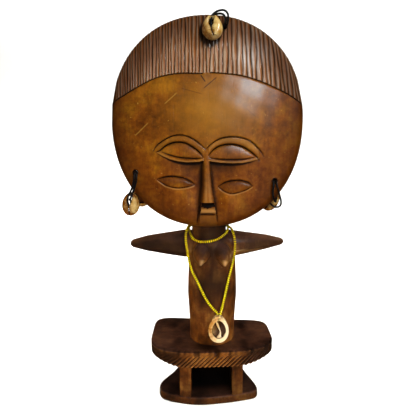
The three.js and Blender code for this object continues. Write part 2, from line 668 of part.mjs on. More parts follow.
add('figure', fromSolid(figure()), 0x5f3613, 0.45);
for (const [name, shell] of Object.entries(cowries)) {
  const mesh = add(name, cowrie(shell, name === 'pendant_cowrie'), 0xdcc48c, 0.3);
  mesh.position.set(...shell.at);
  mesh.rotation.set(shell.tip, shell.lean, shell.turn, 'XYZ');
}
for (const [name, route] of Object.entries(cordRoutes)) {
  add(name, cord(route), 0x14110f, 0.7);
}
for (const [name, place] of Object.entries(knots)) {
  const knot = new THREE.SphereGeometry(knotRadius, 8, 5);
  knot.scale(1, knotHalfDepth / knotRadius, 1);
  add(name, knot, 0x14110f, 0.7).position.set(...place);
}
add('bead_necklace', strand(), 0xe6c81e, 0.35);

export default group;
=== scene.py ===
from math import atan2, cos, hypot, pi, radians, sin

import bpy
import numpy as np
from mathutils import Matrix, Vector


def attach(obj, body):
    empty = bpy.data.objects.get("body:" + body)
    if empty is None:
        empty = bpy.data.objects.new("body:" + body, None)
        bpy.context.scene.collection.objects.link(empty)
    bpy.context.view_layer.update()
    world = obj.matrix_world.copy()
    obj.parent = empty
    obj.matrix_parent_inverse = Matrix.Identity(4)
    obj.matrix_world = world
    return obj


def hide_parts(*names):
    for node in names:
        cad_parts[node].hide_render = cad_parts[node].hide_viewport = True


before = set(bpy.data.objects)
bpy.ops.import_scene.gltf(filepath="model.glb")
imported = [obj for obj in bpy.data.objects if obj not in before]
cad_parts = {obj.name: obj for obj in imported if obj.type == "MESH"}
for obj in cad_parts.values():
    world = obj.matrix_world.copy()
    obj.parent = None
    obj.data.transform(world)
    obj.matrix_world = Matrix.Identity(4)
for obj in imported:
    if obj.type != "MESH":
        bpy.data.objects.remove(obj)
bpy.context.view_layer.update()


# Camera, at the photograph's angle: just above the middle of the head, close, and looking down.
# Its lens gives the photograph's frame on a square picture.
camera_distance, camera_height, looking_down = 0.3329, 0.2285, radians(11.7)
bpy.ops.object.camera_add(location=(0, -camera_distance, camera_height), rotation=(pi / 2 - looking_down, 0, 0))
camera = bpy.context.object
camera.name = "camera"
camera.data.sensor_width = 36
camera.data.lens = 36.87
bpy.context.scene.camera = camera


# Cords: thin waxed cotton thongs, each one folded double through its shell and tied behind the head.
# Each runs through the slit of its shell, over itself at the fold, and back through the hole in the disc.
cord_thickness = 1.6
cord_routes = {
    "crown_thong": [
        (12.7, 7, 292.9), (12.7, 1.2, 293.5), (12.8, -4.8, 294.2), (13.9, -7.6, 296.3), (14.4, -8.8, 299.7),
        (13.6, -9.3, 302.8), (11.4, -9.7, 304.3), (8.4, -9.9, 304.2), (5, -9.9, 302.8), (2.8, -10.4, 300.4),
        (2.2, -11.4, 296.9), (2.2, -12.5, 292.5), (2.3, -12.7, 289.3), (2.4, -12, 287.1), (2.6, -9.9, 286.1),
        (2.7, -7.9, 287.1), (2.8, -7.1, 289.3), (2.9, -6.6, 292.5), (3, -5.9, 296.3), (3.2, -5.2, 299.5),
        (4.7, -5.6, 301.8), (7.8, -6.6, 302.8), (10.9, -7.2, 302), (12.5, -7.2, 299.4), (12.2, -6.6, 296.4),
        (10.95, -4.4, 294.1), (10.9, 1.2, 293.5), (10.9, 7, 292.9)],
    "left_ear_thong": [
        (-55.2, -2.6, 171), (-55.7, -1.3, 174.4), (-56.95, -0.2, 177.4), (-56.6, 0.6, 181.4), (-55.3, 0.9, 185),
        (-54.5, -0.6, 188), (-54.45, -3.6, 189.2), (-54.45, -10, 189.7), (-54.45, -16.2, 190.3),
        (-54.45, -19, 189.4), (-54.5, -20.3, 186.6), (-55, -20.1, 183.4), (-56.3, -19.9, 179.2),
        (-58.4, -19.9, 174.8), (-59.9, -19.9, 170.8), (-60, -19.1, 167.6), (-59.7, -17.3, 165.1),
        (-59.5, -14.9, 163.3), (-59.4, -12.6, 163.8), (-59.3, -11.6, 166), (-59.2, -12.6, 168.1),
        (-59.1, -14.9, 168.8), (-58.9, -17.3, 169.4), (-58, -19.2, 171), (-57, -19.9, 173.4),
        (-55.4, -19.9, 177), (-54, -19.9, 181), (-53.1, -20.1, 184.2), (-52.75, -20.3, 187),
        (-52.7, -19, 189.4), (-52.7, -16.2, 190.3), (-52.7, -10, 189.7), (-52.7, -3.6, 189.2),
        (-52.8, -0.6, 188), (-53.6, 0.9, 185), (-54.9, 0.6, 181.4), (-55.5, -0.2, 177.4), (-54.4, -1.3, 174.4),
        (-53.6, -2.6, 171)],
    "right_ear_thong": [
        (50.45, -3.1, 182.2), (50.45, -10, 183), (50.5, -16.4, 183.7), (50.8, -19.2, 182.8), (51.3, -20.4, 180),
        (52.4, -19.9, 176.8), (53.8, -18.6, 172.8), (55.2, -15.6, 168.8), (56, -12, 165.6),
        (55.8, -9.4, 163.3), (54, -8.2, 162), (51.8, -7.6, 162.1), (50.2, -7, 163.1), (49.1, -4.6, 164.1),
        (49, -2, 163.9), (49.6, 0.5, 164.3), (51.4, 1.8, 166), (53.1, 0.5, 167.7), (53.7, -2.2, 168.4),
        (53.5, -5, 168.5), (52.5, -9, 167.6), (51.4, -13.8, 167.4), (50, -18, 168.9), (48.7, -19.8, 172),
        (48.3, -20, 176), (48.55, -20.4, 180), (48.7, -19.2, 182.8), (48.75, -16.4, 183.7), (48.75, -10, 183),
        (48.75, -3.1, 182.2)],
}
cord_facts = {
    "crown_thong": ("crown_cord", 0.098, "knot", (11.8, 9.4, 292.7)),
    "left_ear_thong": ("left_ear_cord", 0.139, "object", None),
    "right_ear_thong": ("right_ear_cord", 0.113, "knot", (49.6, -0.7, 182)),
}


def metres(point):
    return tuple(value / 1000 for value in point)


# sRGB hex colours as Blender's linear ones.
def linear(code):
    parts = [int(code[at:at + 2], 16) / 255 for at in (1, 3, 5)]
    return (*[p / 12.92 if p <= 0.04045 else ((p + 0.055) / 1.055) ** 2.4 for p in parts], 1)


# Adds a node: its inputs are values, colours or other nodes' sockets, and stops fill a colour ramp.
def put(tree, kind, inputs=None, stops=(), **settings):
    made = tree.nodes.new("ShaderNode" + kind)
    for key, value in settings.items():
        setattr(made, key, value)
    for at, (place, colour) in enumerate(stops):
        stop = made.color_ramp.elements[at] if at < 2 else made.color_ramp.elements.new(place)
        stop.position = place
        stop.color = linear(colour) if isinstance(colour, str) else (colour, colour, colour, 1)
    for socket, value in (inputs or {}).items():
        if isinstance(value, bpy.types.NodeSocket):
            tree.links.new(value, made.inputs[socket])
        else:
            made.inputs[socket].default_value = linear(value) if isinstance(value, str) else value
    return made


# Common nodes. Each gives the socket that the next node reads.
def noise(tree, place, scale, detail, roughness=0.5):
    return put(tree, "TexNoise", {"Vector": place, "Scale": scale, "Detail": detail,
                                  "Roughness": roughness}).outputs["Fac"]


def ramp(tree, value, *stops):
    return put(tree, "ValToRGB", {"Fac": value}, stops).outputs["Color"]


def bumped(tree, height, strength, distance, **under):
    return put(tree, "Bump", {"Height": height, "Strength": strength, "Distance": distance,
                              **under}).outputs["Normal"]


# A new material, its nodes, its shader and its Object coordinates.
def new_finish(name, **constants):
    finish = bpy.data.materials.new(name)
    finish.use_nodes = True
    tree = finish.node_tree
    shader = tree.nodes["Principled BSDF"]
    for socket, value in constants.items():
        shader.inputs[socket.replace("_", " ")].default_value = value
    return finish, tree, shader, put(tree, "TexCoord").outputs["Object"]


def wire(tree, shader, **sockets):
    for name, value in sockets.items():
        tree.links.new(value, shader.inputs[name.replace("_", " ")])


# Selects these pieces alone, and makes the first one active.
def pick(*pieces):
    bpy.ops.object.select_all(action="DESELECT")
    for piece in pieces[::-1]:
        piece.select_set(True)
        bpy.context.view_layer.objects.active = piece


# A round cord, or a loop of it, along points in millimetres.
def cord_along(name, route, thickness, loop, rounds=3):
    pick()
    if loop:
        bpy.ops.curve.primitive_bezier_circle_add(radius=0.001)
    else:
        bpy.ops.curve.primitive_bezier_curve_add()
    cord = bpy.context.object
    cord.name = cord.data.name = name
    line = cord.data.splines[0]
    line.bezier_points.add(len(route) - len(line.bezier_points))
    for point, at in zip(line.bezier_points, route):
        point.handle_left_type = point.handle_right_type = "AUTO"
        point.co = metres(at)
    cord.data.dimensions = "3D"
    cord.data.bevel_depth = thickness / 2000
    cord.data.bevel_resolution = rounds
    cord.data.resolution_u = 6
    cord.data.use_fill_caps = True
    return cord


# Waxed black cotton: a dull black with a grey sheen, where the wax has dried in the twisted strands. The real
# twist is about 0.9 mm long, and is drawn about 2 mm long so that it shows.
waxed_cotton, tree, shader, place = new_finish("waxed_black_cotton", Roughness=0.45, Specular_IOR_Level=0.4)
strands = put(tree, "TexWave", {"Vector": place, "Scale": 170, "Distortion": 2.5, "Detail": 2},
              bands_direction="DIAGONAL").outputs["Fac"]
wire(tree, shader, Base_Color=ramp(tree, noise(tree, place, 900, 3), (0.35, "#060505"), (0.85, "#1f1c1a")),
     Normal=bumped(tree, strands, 0.5, 0.0002))


# A closed overhand knot, drawn tight into a small ball.
def tied_knot(name, middle):
    bends = 18
    turns = [2 * pi * at / bends for at in range(bends)]
    knot = cord_along(name, [(0.6 * (sin(t) + 2 * sin(2 * t)), -1.05 * sin(3 * t), 0.6 * (cos(t) - 2 * cos(2 * t)))
                             for t in turns], cord_thickness * 1.1, True)
    knot.location = metres(middle)
    bpy.ops.object.convert(target="MESH")
    bpy.ops.object.transform_apply(location=True)
    bpy.ops.object.shade_smooth()
    return knot


for name, (node, length, far_end, knot_at) in cord_facts.items():
    route = cord_routes[name]
    thong = cord_along(name, route, cord_thickness, False)
    if knot_at:
        knot = tied_knot(node.replace("cord", "tied_knot"), knot_at)
        knot.data.materials.append(waxed_cotton)
        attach(knot, "root")
        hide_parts(node.replace("cord", "knot"))
    thong.data.materials.append(waxed_cotton)
    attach(thong, "root")
    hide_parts(node)


# Floor and soft studio light: a sweep of pale paper that turns up far behind the figure, and soft boxes: two on
# the right that show in the wax as the glow of the forehead and hair, larger ones above, low in front, on the left
# and behind. Two narrow spots light the stool and the belly, and a wide light reaches only the paper.
paper_size, turn_up_at, paper_rise = 6, 1.4, 0.78


def spread(tree, value, start, end, low=0, high=1):
    return put(tree, "MapRange", {"Value": value, "From Min": start, "From Max": end, "To Min": low,
                                  "To Max": high}).outputs[0]


def mode(name):
    bpy.ops.object.mode_set(mode=name)


# Opens a piece for editing with the edges selected whose two ends pass a test.
def open_at_edges(piece, test):
    mode("EDIT")
    bpy.ops.mesh.select_all(action="DESELECT")
    bpy.ops.mesh.select_mode(type="EDGE")
    mode("OBJECT")
    for edge in piece.data.edges:
        edge.select = test(*[piece.data.vertices[v].co for v in edge.vertices])
    mode("EDIT")


def far_and_low(start, end):
    return min(start.y, end.y) > 1 and max(start.z, end.z) < 1


pick()
bpy.ops.mesh.primitive_plane_add(size=paper_size, location=(0, turn_up_at - paper_size / 2, 0))
floor = bpy.context.object
floor.name = "floor"
bpy.ops.object.transform_apply(location=True)
open_at_edges(floor, far_and_low)
bpy.ops.mesh.extrude_region_move(TRANSFORM_OT_translate={"value": (0, 0, paper_rise)})
open_at_edges(floor, far_and_low)
bpy.ops.mesh.bevel(offset=0.45, segments=16)
mode("OBJECT")
bpy.ops.object.shade_smooth()
pale, tree, shader, _ = new_finish("matt_pale_paper", Roughness=0.95)
shader.inputs["Base Color"].default_value = linear("#fafaf8")
floor.data.materials.append(pale)
# The paper throws no light back, so that the dark wood keeps its depth of colour.
floor.visible_diffuse = floor.visible_glossy = False
for name, at, aim, size, power, colour in (
        ("soft_box_right", (0.18, -0.60, 0.49), (0.03, 0, 0.22), 0.12, 1.15, "#dcf4ff"),
        ("soft_box_side", (0.55, -0.33, 0.6), (0, 0, 0.2), 0.11, 1, "#fff8f0"),
        ("soft_box_back", (-0.5, 0.9, 0.7), (0, 0, 0.2), 0.6, 9, "#fff6e8"),
        ("soft_box_high", (0.32, -0.45, 0.85), (0, 0, 0.2), 0.2, 3.2, "#fff6e8"),
        ("soft_box_low", (0.2, -0.9, 0.1), (0, 0, 0.1), 0.4, 2.6, "#fff2e0"),
        ("soft_box_left", (-0.9, -0.5, 0.5), (0, 0, 0.1), 0.4, 0.8, "#fff2e0"),
        ("grid_spot_right", (0.3, -0.6, 0.12), (0, 0, 0.055), 0.1, 0.072, "#fff2e0"),
        ("grid_spot_left", (-0.5, -0.45, 0.12), (0, 0, 0.065), 0.1, 0.072, "#fff2e0"),
        ("paper_light", (0, 0.45, 1.5), (0, 1.4, 0.2), 1.3, 36, "#ffffff")):
    bpy.ops.object.light_add(type="AREA", location=at)
    lamp = bpy.context.object
    lamp.name = name
    lamp.data.size = size
    lamp.data.energy = power
    lamp.data.color = linear(colour)[:3]
    lamp.rotation_euler = (Vector(aim) - Vector(at)).to_track_quat("-Z", "Y").to_euler()
    # Only the ones on the right show in the wax; the others light it without a reflection.
    lamp.visible_glossy = name in ("soft_box_right", "soft_box_side")
    if name.startswith("grid"):
        lamp.data.spread = radians(24)
    if name == "paper_light":
        lit = bpy.data.collections.new("lit_paper")
        lit.objects.link(floor)
        lamp.light_linking.receiver_collection = lit
# The sky is bright for the camera alone and dim as a light, so that the picture's background stays pale.
sky = bpy.data.worlds.new("pale_sky")
bpy.context.scene.world = sky
sky.use_nodes = True
background = sky.node_tree.nodes["Background"]
background.inputs["Color"].default_value = (0.97, 0.98, 1, 1)
seen = put(sky.node_tree, "LightPath").outputs["Is Camera Ray"]
wire(sky.node_tree, background, Strength=spread(sky.node_tree, seen, 0, 1, 0.2, 0.95))
sky.cycles_visibility.glossy = False
bpy.context.scene.view_settings.view_transform = "Standard"


# Head: a flat disc of dark stained hardwood with a slightly domed face, carved with a knife and waxed.
# It is shaped as a fine grid in the disc's own x (across) and h (up), and off, the height over its middle
# plane, and is then tilted back and set on the neck. All in millimetres until it is set in place.
head_place = (-0.5, -6, 224)
head_tilt = radians(6)
head_half_width = 71.4
head_rise = 75.8
head_drop = 80.1
head_widest = 4
head_power = 2.15
corner_angle = 0.13
grooves_start = -69
hair_pitches = ((-69, 1.75), (-50, 2.1), (-25, 2.35), (0, 2.75), (15, 3.5), (35, 3.4), (69, 2.9))
hair_fan = 0.18
columns_per_groove = 6
hair_rows = 36
face_rows = 206
rim_rings = ((1.003, 1.2), (1.004, 0), (1.003, -1.2), (0.999, -2.4), (0.988, -3.9), (0.965, -5.1), (0.93, -6),
             (0.86, -6.9), (0.75, -7.6), (0.6, -8.3), (0.42, -8.9), (0.22, -9.3))
cord_hole_radius = 1.9
cord_holes = ((-53.6, -34.9), (50.4, -41), (12.3, 69.9))


# Points along a smooth line through the given ones.
def drawn_through(points, steps=8):
    points = np.array(points, float)
    ends = np.vstack([2 * points[0] - points[1], points, 2 * points[-1] - points[-2]])
    t = np.linspace(0, 1, steps, endpoint=False)[:, None]
    spans = [0.5 * (2 * b + (c - a) * t + (2 * a - 5 * b + 4 * c - d) * t ** 2 + (3 * b - a - 3 * c + d) * t ** 3)
             for a, b, c, d in zip(ends, ends[1:], ends[2:], ends[3:])]
    return np.vstack([*spans, points[-1:]])


# The height of a line of points over x.
def line_at(x, line):
    return np.interp(x, line[:, 0], line[:, 1])


hairline_points = drawn_through((
    (-71, 15), (-67.9, 17.5), (-59.5, 22.4), (-48.6, 28.4), (-37.7, 33.3), (-26, 35.9), (-17.3, 36.6),
    (-5.8, 36.3), (1.4, 36.9), (10.1, 36.5), (23.9, 35.1), (36.8, 31.7), (48.7, 27), (58.6, 22.4), (67.5, 16.9),
    (71, 14.6)))


def hairline(x):
    return line_at(x, hairline_points)


def eased(t):
    t = np.clip(t, 0, 1)
    return t * t * (3 - 2 * t)


# 1 in the middle of a soft round spot, and less with the distance in each direction.
def spot(*away):
    return np.exp(-sum(part ** 2 for part in away))


# How far out a point lies on the disc: 0 in the middle and 1 on its edge.
def share_of_disc(x, h):
    reach = np.where(h > head_widest, head_rise, head_drop)
    return (np.abs(x / head_half_width) ** head_power + np.abs((h - head_widest) / reach) ** head_power) ** (
        1 / head_power)


def disc_edge(angle):
    c, s = np.cos(angle), np.sin(angle)
    return (head_half_width * np.sign(c) * np.abs(c) ** (2 / head_power),
            head_widest + np.where(s > 0, head_rise, head_drop) * np.sign(s) * np.abs(s) ** (2 / head_power))


groove_places = [grooves_start]
chance = np.random.default_rng(3)
while groove_places[-1] < -grooves_start:
    pitch = float(np.interp(groove_places[-1], *zip(*hair_pitches)))
    groove_places.append(groove_places[-1] + pitch * chance.uniform(0.84, 1.18))
groove_places = np.array(groove_places)


def hair_lean(x):
    return np.where(x > 0, -hair_fan * (x / 68) ** 2, 0)


# How far a point is from a carved line, and how far along the line it lies, from 0 to 1.
def from_line(x, h, line):
    away = np.full(x.shape, 1e9)
    along = np.zeros(x.shape)
    for k, ((ax, ah), (bx, bh)) in enumerate(zip(line, line[1:])):
        dx, dh = bx - ax, bh - ah
        t = np.clip(((x - ax) * dx + (h - ah) * dh) / (dx * dx + dh * dh), 0, 1)
        d = np.hypot(x - ax - t * dx, h - ah - t * dh)
        nearer = d < away
        away = np.where(nearer, d, away)
        along = np.where(nearer, (k + t) / (len(line) - 1), along)
    return away, along


# Carved lines of the face: points, half width and depth. Each line thins out towards its ends.
face_lines = {
    "left_brow_top": (((-39.8, -19.1), (-37.5, -15.6), (-33.5, -12.3), (-27.3, -8.9), (-21.2, -7.6), (-15.1, -8.4),
                       (-9.1, -11.4), (-4.8, -14.7), (-1.2, -18)), 0.78, 1),
    "left_brow_foot": (((-37.5, -19.9), (-35.1, -18.9), (-30.4, -15.2), (-24.9, -13), (-19.4, -12.7),
                        (-14.6, -14), (-8.5, -17.7), (-4.8, -21.3), (-2.7, -24.2)), 0.85, 1.25),
    "left_lid_line": (((-33.6, -19.9), (-27.5, -22.2), (-21.3, -23.7), (-15.2, -24.4), (-8.5, -24.7),
                       (-3.7, -24.3)), 0.82, 1),
    "right_brow_top": (((-0.6, -17.4), (3.7, -13.5), (9.1, -10.4), (15.2, -9.1), (21.2, -9), (27.4, -10.2),
                        (32.3, -12.5), (37.2, -17), (40.4, -20.7), (41.7, -23.1)), 0.78, 1),
    "right_brow_foot": (((1, -22.5), (3.7, -18.9), (7.9, -15.9), (13.9, -14.3), (20.1, -14.4), (26.2, -16.1),
                         (31.8, -19.5), (36.2, -23.4), (38.4, -26.1)), 0.85, 1.25),
    "right_lid_line": (((1.8, -24.2), (9.2, -25.2), (18.3, -25.5), (26.3, -25.2), (34.2, -23.8)), 0.82, 1),
    "left_mark_top": (((-37.3, -39.8), (-31.5, -38.3), (-26.4, -37.8), (-18.4, -38.9), (-13, -41.4),
                       (-9.5, -43.9)), 1, 1.2),
    "left_mark_foot": (((-37.3, -40.2), (-30.8, -44.5), (-22.8, -46.4), (-15.4, -45.8), (-9.5, -44.1)), 0.6, 0.8),
    "right_mark_top": (((8.3, -45.2), (14.1, -42), (22.2, -40.8), (29, -41.8), (33.7, -44.8)), 1, 1.2),
    "right_mark_foot": (((8.3, -45.7), (12.4, -48.8), (18.6, -50.7), (27.9, -48.3), (33.7, -45.1)), 0.6, 0.8),
    "mouth": (((-6.2, -66.4), (0.2, -66.2), (6.8, -66.5)), 1.1, 1.9),
    "chin_left": (((-6.1, -59), (-6.8, -65), (-7.8, -73)), 0.8, 1.4),
    "chin_right": (((6.3, -60), (6.9, -65), (7.6, -72)), 0.7, 0.8),
}
face_lines = {name: (drawn_through(points, 6), half, depth) for name, (points, half, depth) in face_lines.items()}
lid_bottoms = (
    np.array(((-40.5, -18.6), (-38.5, -19.7), (-33.6, -22.5), (-27.5, -25.2), (-21.4, -26.8), (-15.3, -27.5),
              (-6, -27.1), (-2.7, -26.1))),
    np.array(((2.5, -26.8), (9.2, -27.7), (18.4, -28.2), (25.8, -27.9), (31.9, -26.8), (36.8, -25.5),
              (39.5, -24.3))))
nose_widths = np.array(((-58, 4.3, 2.7), (-45, 2.6, 1.2), (-26, 1.7, 0.3), (-19, 1.1, 0.05)))


# The carved height over the disc's middle plane, and for the finish: the dirt and painted shade, the wear and painted
# highlights, and the hair at each place.
def carved(x, h):
    share = share_of_disc(x, h)
    plain = 11 - 5.4 * share ** 2 - 3.2 * np.clip((share - 0.93) / 0.07, 0, 1.02) ** 2.5
    plain += 0.06 * np.sin(0.31 * x + 0.12 * h) * np.sin(0.23 * h - 0.1 * x + 1)
    recess = np.zeros(x.shape)
    worn = np.zeros(x.shape)

    # Sunk cheeks, from a sharp step under the lids out to the face.
    sunk = np.zeros(x.shape)
    for side, bottom in zip((-1, 1), lid_bottoms):
        top = line_at(x, bottom)
        here = (side * (x - 0.1) > 0) & (h < top + 0.5)
        below = top - h
        out = eased((np.abs(x) - 6) / 34)
        beside = (1 - eased((np.abs(x) - 6) / 11)) * (1 - 0.25 * below / 34)
        under, along = (1 - out) * (1 - eased(below / 34)), beside * (1 - eased((below - 30) / 16))
        soft = under + along - under * along
        sunk = np.where(here, 2.4 * soft * eased((below + 0.3) / 0.9), sunk)
        # Painted shade: a black band close under each lid's lower edge, and a softer shade below it, darkest by the
        # nose.
        black = 2.5 * np.clip(1 - ((np.abs(x) - 11) / 28) ** 2, 0, 1)
        shade = np.maximum(0.97 * eased((black - below) / 1.3 + 0.5) * np.clip(black / 0.6, 0, 1),
                           0.86 * spot(below / 7) * (1 - out) ** 1.5)
        recess = np.where(here, np.maximum(recess, shade), recess)
    off = plain - sunk

    # Nose, narrow between the brows and wider at its tip, with a broad left side.
    half = line_at(h, nose_widths)
    lift = np.interp(h, nose_widths[:, 0], nose_widths[:, 2])
    middle = np.interp(h, (-58, -26), (0.7, -0.5))
    edge = np.abs(x - middle) - half
    fall = np.where(x < middle, np.clip(edge, 0, None) * 1.15, np.clip(edge, 0, None) * 3.2)
    ridge = plain + lift - 0.25 * np.clip(1 + edge / 1.4, 0, 1) ** 2 - fall
    nose_here = (h < -19) & (h > -57.7)
    is_nose = nose_here & (ridge > off)
    off = np.where(is_nose, ridge, off)
    recess = np.where(nose_here, recess * eased(edge / 0.8), recess)
    # Painted shade down both sides of the nose, wider on its left.
    beside = np.where(x < middle, 0.96 * spot((edge - 2.2) / 2.6), 0.85 * spot((edge - 1.2) / 1.5))
    recess = np.where((h < -25) & (h > -74), np.maximum(
        recess, beside * np.clip((-h - 25) / 4, 0, 1) * np.clip((h + 74) / 9, 0, 1)), recess)
    # Painted highlight along the nose's front, brighter towards its tip.
    worn = np.where(is_nose, spot((edge + half * 0.6) / 1.2) * np.clip((-h - 30) / 45, 0.05, 0.42), worn)

    # The cut under the nose, the upper lip that slants out below it, and the chin.
    mouth_here = (np.abs(x - 0.6) < 4.7 + 0.13 * (-57.7 - h)) & (h < -57.7)
    lip = np.interp(h, (-75, -71, -66.5, -65.3, -63.2, -60.9, -60.3, -57.7),
                    (0, 0.5, 0.9, 0.8, -0.2, -2.3, -2.7, -2.9))
    off = np.where(mouth_here & (h > -75), plain + lip, off)
    # Painted shade: the cut under the nose is black. Painted highlights on the upper lip and, fainter, on the chin.
    recess = np.where(mouth_here, np.where(h > -61.6 - 0.5 * np.cos(x / 1.5), 1, 0), recess)
    worn = np.where(mouth_here, spot((h + 63.8) / 1.7) + 0.25 * (h < -67), worn)

    # Closed lids, slanting in under the brows, the brows' flat bands and the lids' lower bands.
    for names, bottom in zip((("left_brow_top", "left_brow_foot", "left_lid_line"),
                              ("right_brow_top", "right_brow_foot", "right_lid_line")), lid_bottoms):
        top, foot, lid = (face_lines[name][0] for name in names)
        brow_top = line_at(x, top)
        brow_foot = line_at(x, foot)
        lid_line = line_at(x, lid)
        lid_foot = line_at(x, bottom)
        within = (x > foot[0, 0]) & (x < foot[-1, 0])
        gap = brow_foot - lid_line
        up = (h - lid_line) / np.maximum(gap, 0.5)
        ball = within & (up > 0) & (up < 1) & (gap > 0.3)
        bulge = (0.1 * np.sin(pi * np.clip(up, 0, 1)) - 0.95 * np.clip(up, 0, 1) ** 1.4) * np.clip(gap / 7, 0, 1)
        off = np.where(ball, off + bulge, off)
        # Painted shade on the upper part of each lid, under the brow.
        recess = np.where(ball, np.maximum(recess, 0.5 * eased((up - 0.68) / 0.32)), recess)
        band = (h < brow_top) & (h > brow_foot) & within
        off = np.where(band, off + 0.3 * np.clip((brow_top - brow_foot) / 3, 0, 1), off)
        ridge = (h - brow_foot) / np.maximum(brow_top - brow_foot, 0.5)
        # Painted highlights along the brows' bands, stronger on the right, and along the lids' lower edges.
        worn = np.where(band, np.where(x > 0, 0.36, 0.14) * spot((ridge - 0.62) / 0.24), worn)
        lower = (h < lid_line) & (h > lid_foot) & within
        off = np.where(lower, plain + 0.15, off)
        recess = np.where(within & (h < lid_line), recess * (1 - eased((h - lid_foot + 0.35) / 0.7)), recess)
        edge = np.abs(h - lid_foot - 0.6)
        worn = np.where(within & (h < lid_line), np.maximum(worn, 0.5 * np.clip(1.2 - edge / 0.8, 0, 1)), worn)

    # Cheek marks, slightly raised inside their outlines.
    for side in ("left", "right"):
        top, foot = face_lines[side + "_mark_top"][0], face_lines[side + "_mark_foot"][0]
        high = line_at(x, top)
        low = line_at(x, foot)
        inside = (x > top[0, 0]) & (x < top[-1, 0]) & (h < high) & (h > low)
        up = np.clip((h - low) / np.maximum(high - low, 0.5), 0, 1)
        off = np.where(inside, off + 0.5 * np.sin(pi * up) - 0.35 * up ** 3, off)
        # Painted shade under each mark's upper outline, and a painted highlight along its lower edge.
        recess = np.where(inside, np.maximum(recess, 0.12 + 0.4 * up), recess)
        edge = np.abs(h - low + 0.9)
        worn = np.maximum(worn, 0.6 * np.clip(1 - edge / 0.7, 0, 1) * (x > top[0, 0]) * (x < top[-1, 0]))

    for line, half, depth in face_lines.values():
        away, along = from_line(x, h, line)
        thin = np.clip(0.35 + 3.2 * np.minimum(along, 1 - along), 0, 1)
        cut = np.clip(1 - away / (half * (0.5 + 0.5 * thin)), 0, 1)
        off = off - depth * thin * cut
        # Dirt and painted shade in the carved lines.
        recess = np.maximum(recess, np.clip(1.5 * cut * (0.4 + 0.6 * thin), 0, 1))

    # Hair: grooves combed up from the hairline, each a little uneven, with worn ridges between them.
    start = x.copy()
    for _ in range(8):
        start = x - hair_lean(start) * (h - hairline(start))
    count = np.interp(start, groove_places, np.arange(len(groove_places)))
    count = count + 0.10 * np.sin(1.9 * count + 0.11 * h) + 0.06 * np.sin(3.1 * count - 0.27 * h + 1)
    hair = eased((h - hairline(x) + 0.2) / 0.7)
    groove = np.round(count)
    deep = 0.85 + 0.3 * np.sin(2.4 * groove + 0.07 * h) * np.sin(5.1 * groove)
    valley = 1 - np.abs(np.sin(pi * count)) ** 0.75
    fan = eased((h - hairline(x)) / 1.5)
    off = off - 1.05 * hair * deep * (0.4 + 0.6 * fan) * valley
    off = off + 0.12 * hair * np.sin(7.3 * groove + 1)
    # Dirt and painted shade in the grooves, and painted highlights and wear along the ridges, wider to the right.
    recess = np.maximum(recess, hair * np.clip(1.35 * valley - 0.12, 0, 1) * (0.5 + 0.5 * deep))
    worn = worn * (1 - hair) + hair * np.abs(np.sin(pi * (count + 0.2))) ** np.interp(x, (-40, 30), (5, 3))
    at_hairline = np.abs(h - hairline(x))
    broken = np.clip((np.abs(x + 0.8) - 2.2) / 0.8, 0.05, 1)
    cut = np.clip(1 - at_hairline / 0.75, 0, 1) * broken
    off = off - 0.8 * cut
    # Dirt and painted shade in the hairline's cut.
    recess = np.maximum(recess, np.clip(1.5 * cut, 0, 1))
    return off, recess, worn, hair


# The grid's columns: six to each groove of the hair, and on down the face to the disc's lower edge.
groove_share = np.linspace(0, len(groove_places) - 1, columns_per_groove * (len(groove_places) - 1) + 1)
column_x = np.interp(groove_share, np.arange(len(groove_places)), groove_places)
corner_x, corner_h = disc_edge(np.array(corner_angle))
column_x = column_x * corner_x / max(abs(column_x[0]), column_x[-1])
column_x[0], column_x[-1] = -corner_x, corner_x
low, high = np.zeros(column_x.size), np.full(column_x.size, 90.0)
for _ in range(30):
    middle = (low + high) / 2
    inside = share_of_disc(column_x + hair_lean(column_x) * middle, hairline(column_x) + middle) < 1
    low, high = np.where(inside, middle, low), np.where(inside, high, middle)
hair_length = low
hair_length[[0, -1]] = 0
across = column_x / corner_x
sides = np.abs(across) ** 6
angles = np.linspace(pi, 2 * pi, 721)
edge_x = disc_edge(angles)[0]
upright = np.interp(column_x, edge_x, angles)
even = pi - corner_angle + (across + 1) / 2 * (pi + 2 * corner_angle)
foot_x, foot_h = disc_edge((1 - sides) * upright + sides * even)
line_h = hairline(column_x)
line_h[[0, -1]] = corner_h
rows = []
for row in range(hair_rows, 0, -1):
    up = row / hair_rows
    up = up - 0.13 * sin(2 * pi * up)
    rows.append((column_x + hair_lean(column_x) * up * hair_length, line_h + up * hair_length))
for row in range(face_rows + 1):
    down = row / face_rows
    down = down + 0.06 * sin(2 * pi * down) * (down < 0.5) + 0.02 * sin(2 * pi * down) * (down >= 0.5)
    rows.append((column_x + (foot_x - column_x) * down, line_h + (foot_h - line_h) * down))


def read_points(piece):
    points = np.empty(3 * len(piece.data.vertices))
    piece.data.vertices.foreach_get("co", points)
    return points.reshape(-1, 3)


def write_points(piece, points):
    piece.data.vertices.foreach_set("co", np.ascontiguousarray(points, float).ravel())
    piece.data.update()


# A skin through rows of points, each row the x, y and z of its points.
def skin(name, rows):
    pick()
    down, wide = rows.shape[0], rows.shape[2]
    bpy.ops.mesh.primitive_grid_add(x_subdivisions=wide - 1, y_subdivisions=down - 1, size=2)
    piece = bpy.context.object
    piece.name = piece.data.name = name
    points = read_points(piece)
    column = np.rint((points[:, 0] + 1) / 2 * (wide - 1)).astype(int)
    row = np.rint((points[:, 1] + 1) / 2 * (down - 1)).astype(int)
    write_points(piece, rows[row, :, column])
    return piece


flat_x, flat_h = np.swapaxes(rows[::-1], 0, 1)
head = skin("figure_head", np.stack([flat_x, -carved(flat_x, flat_h)[0], flat_h], axis=1))

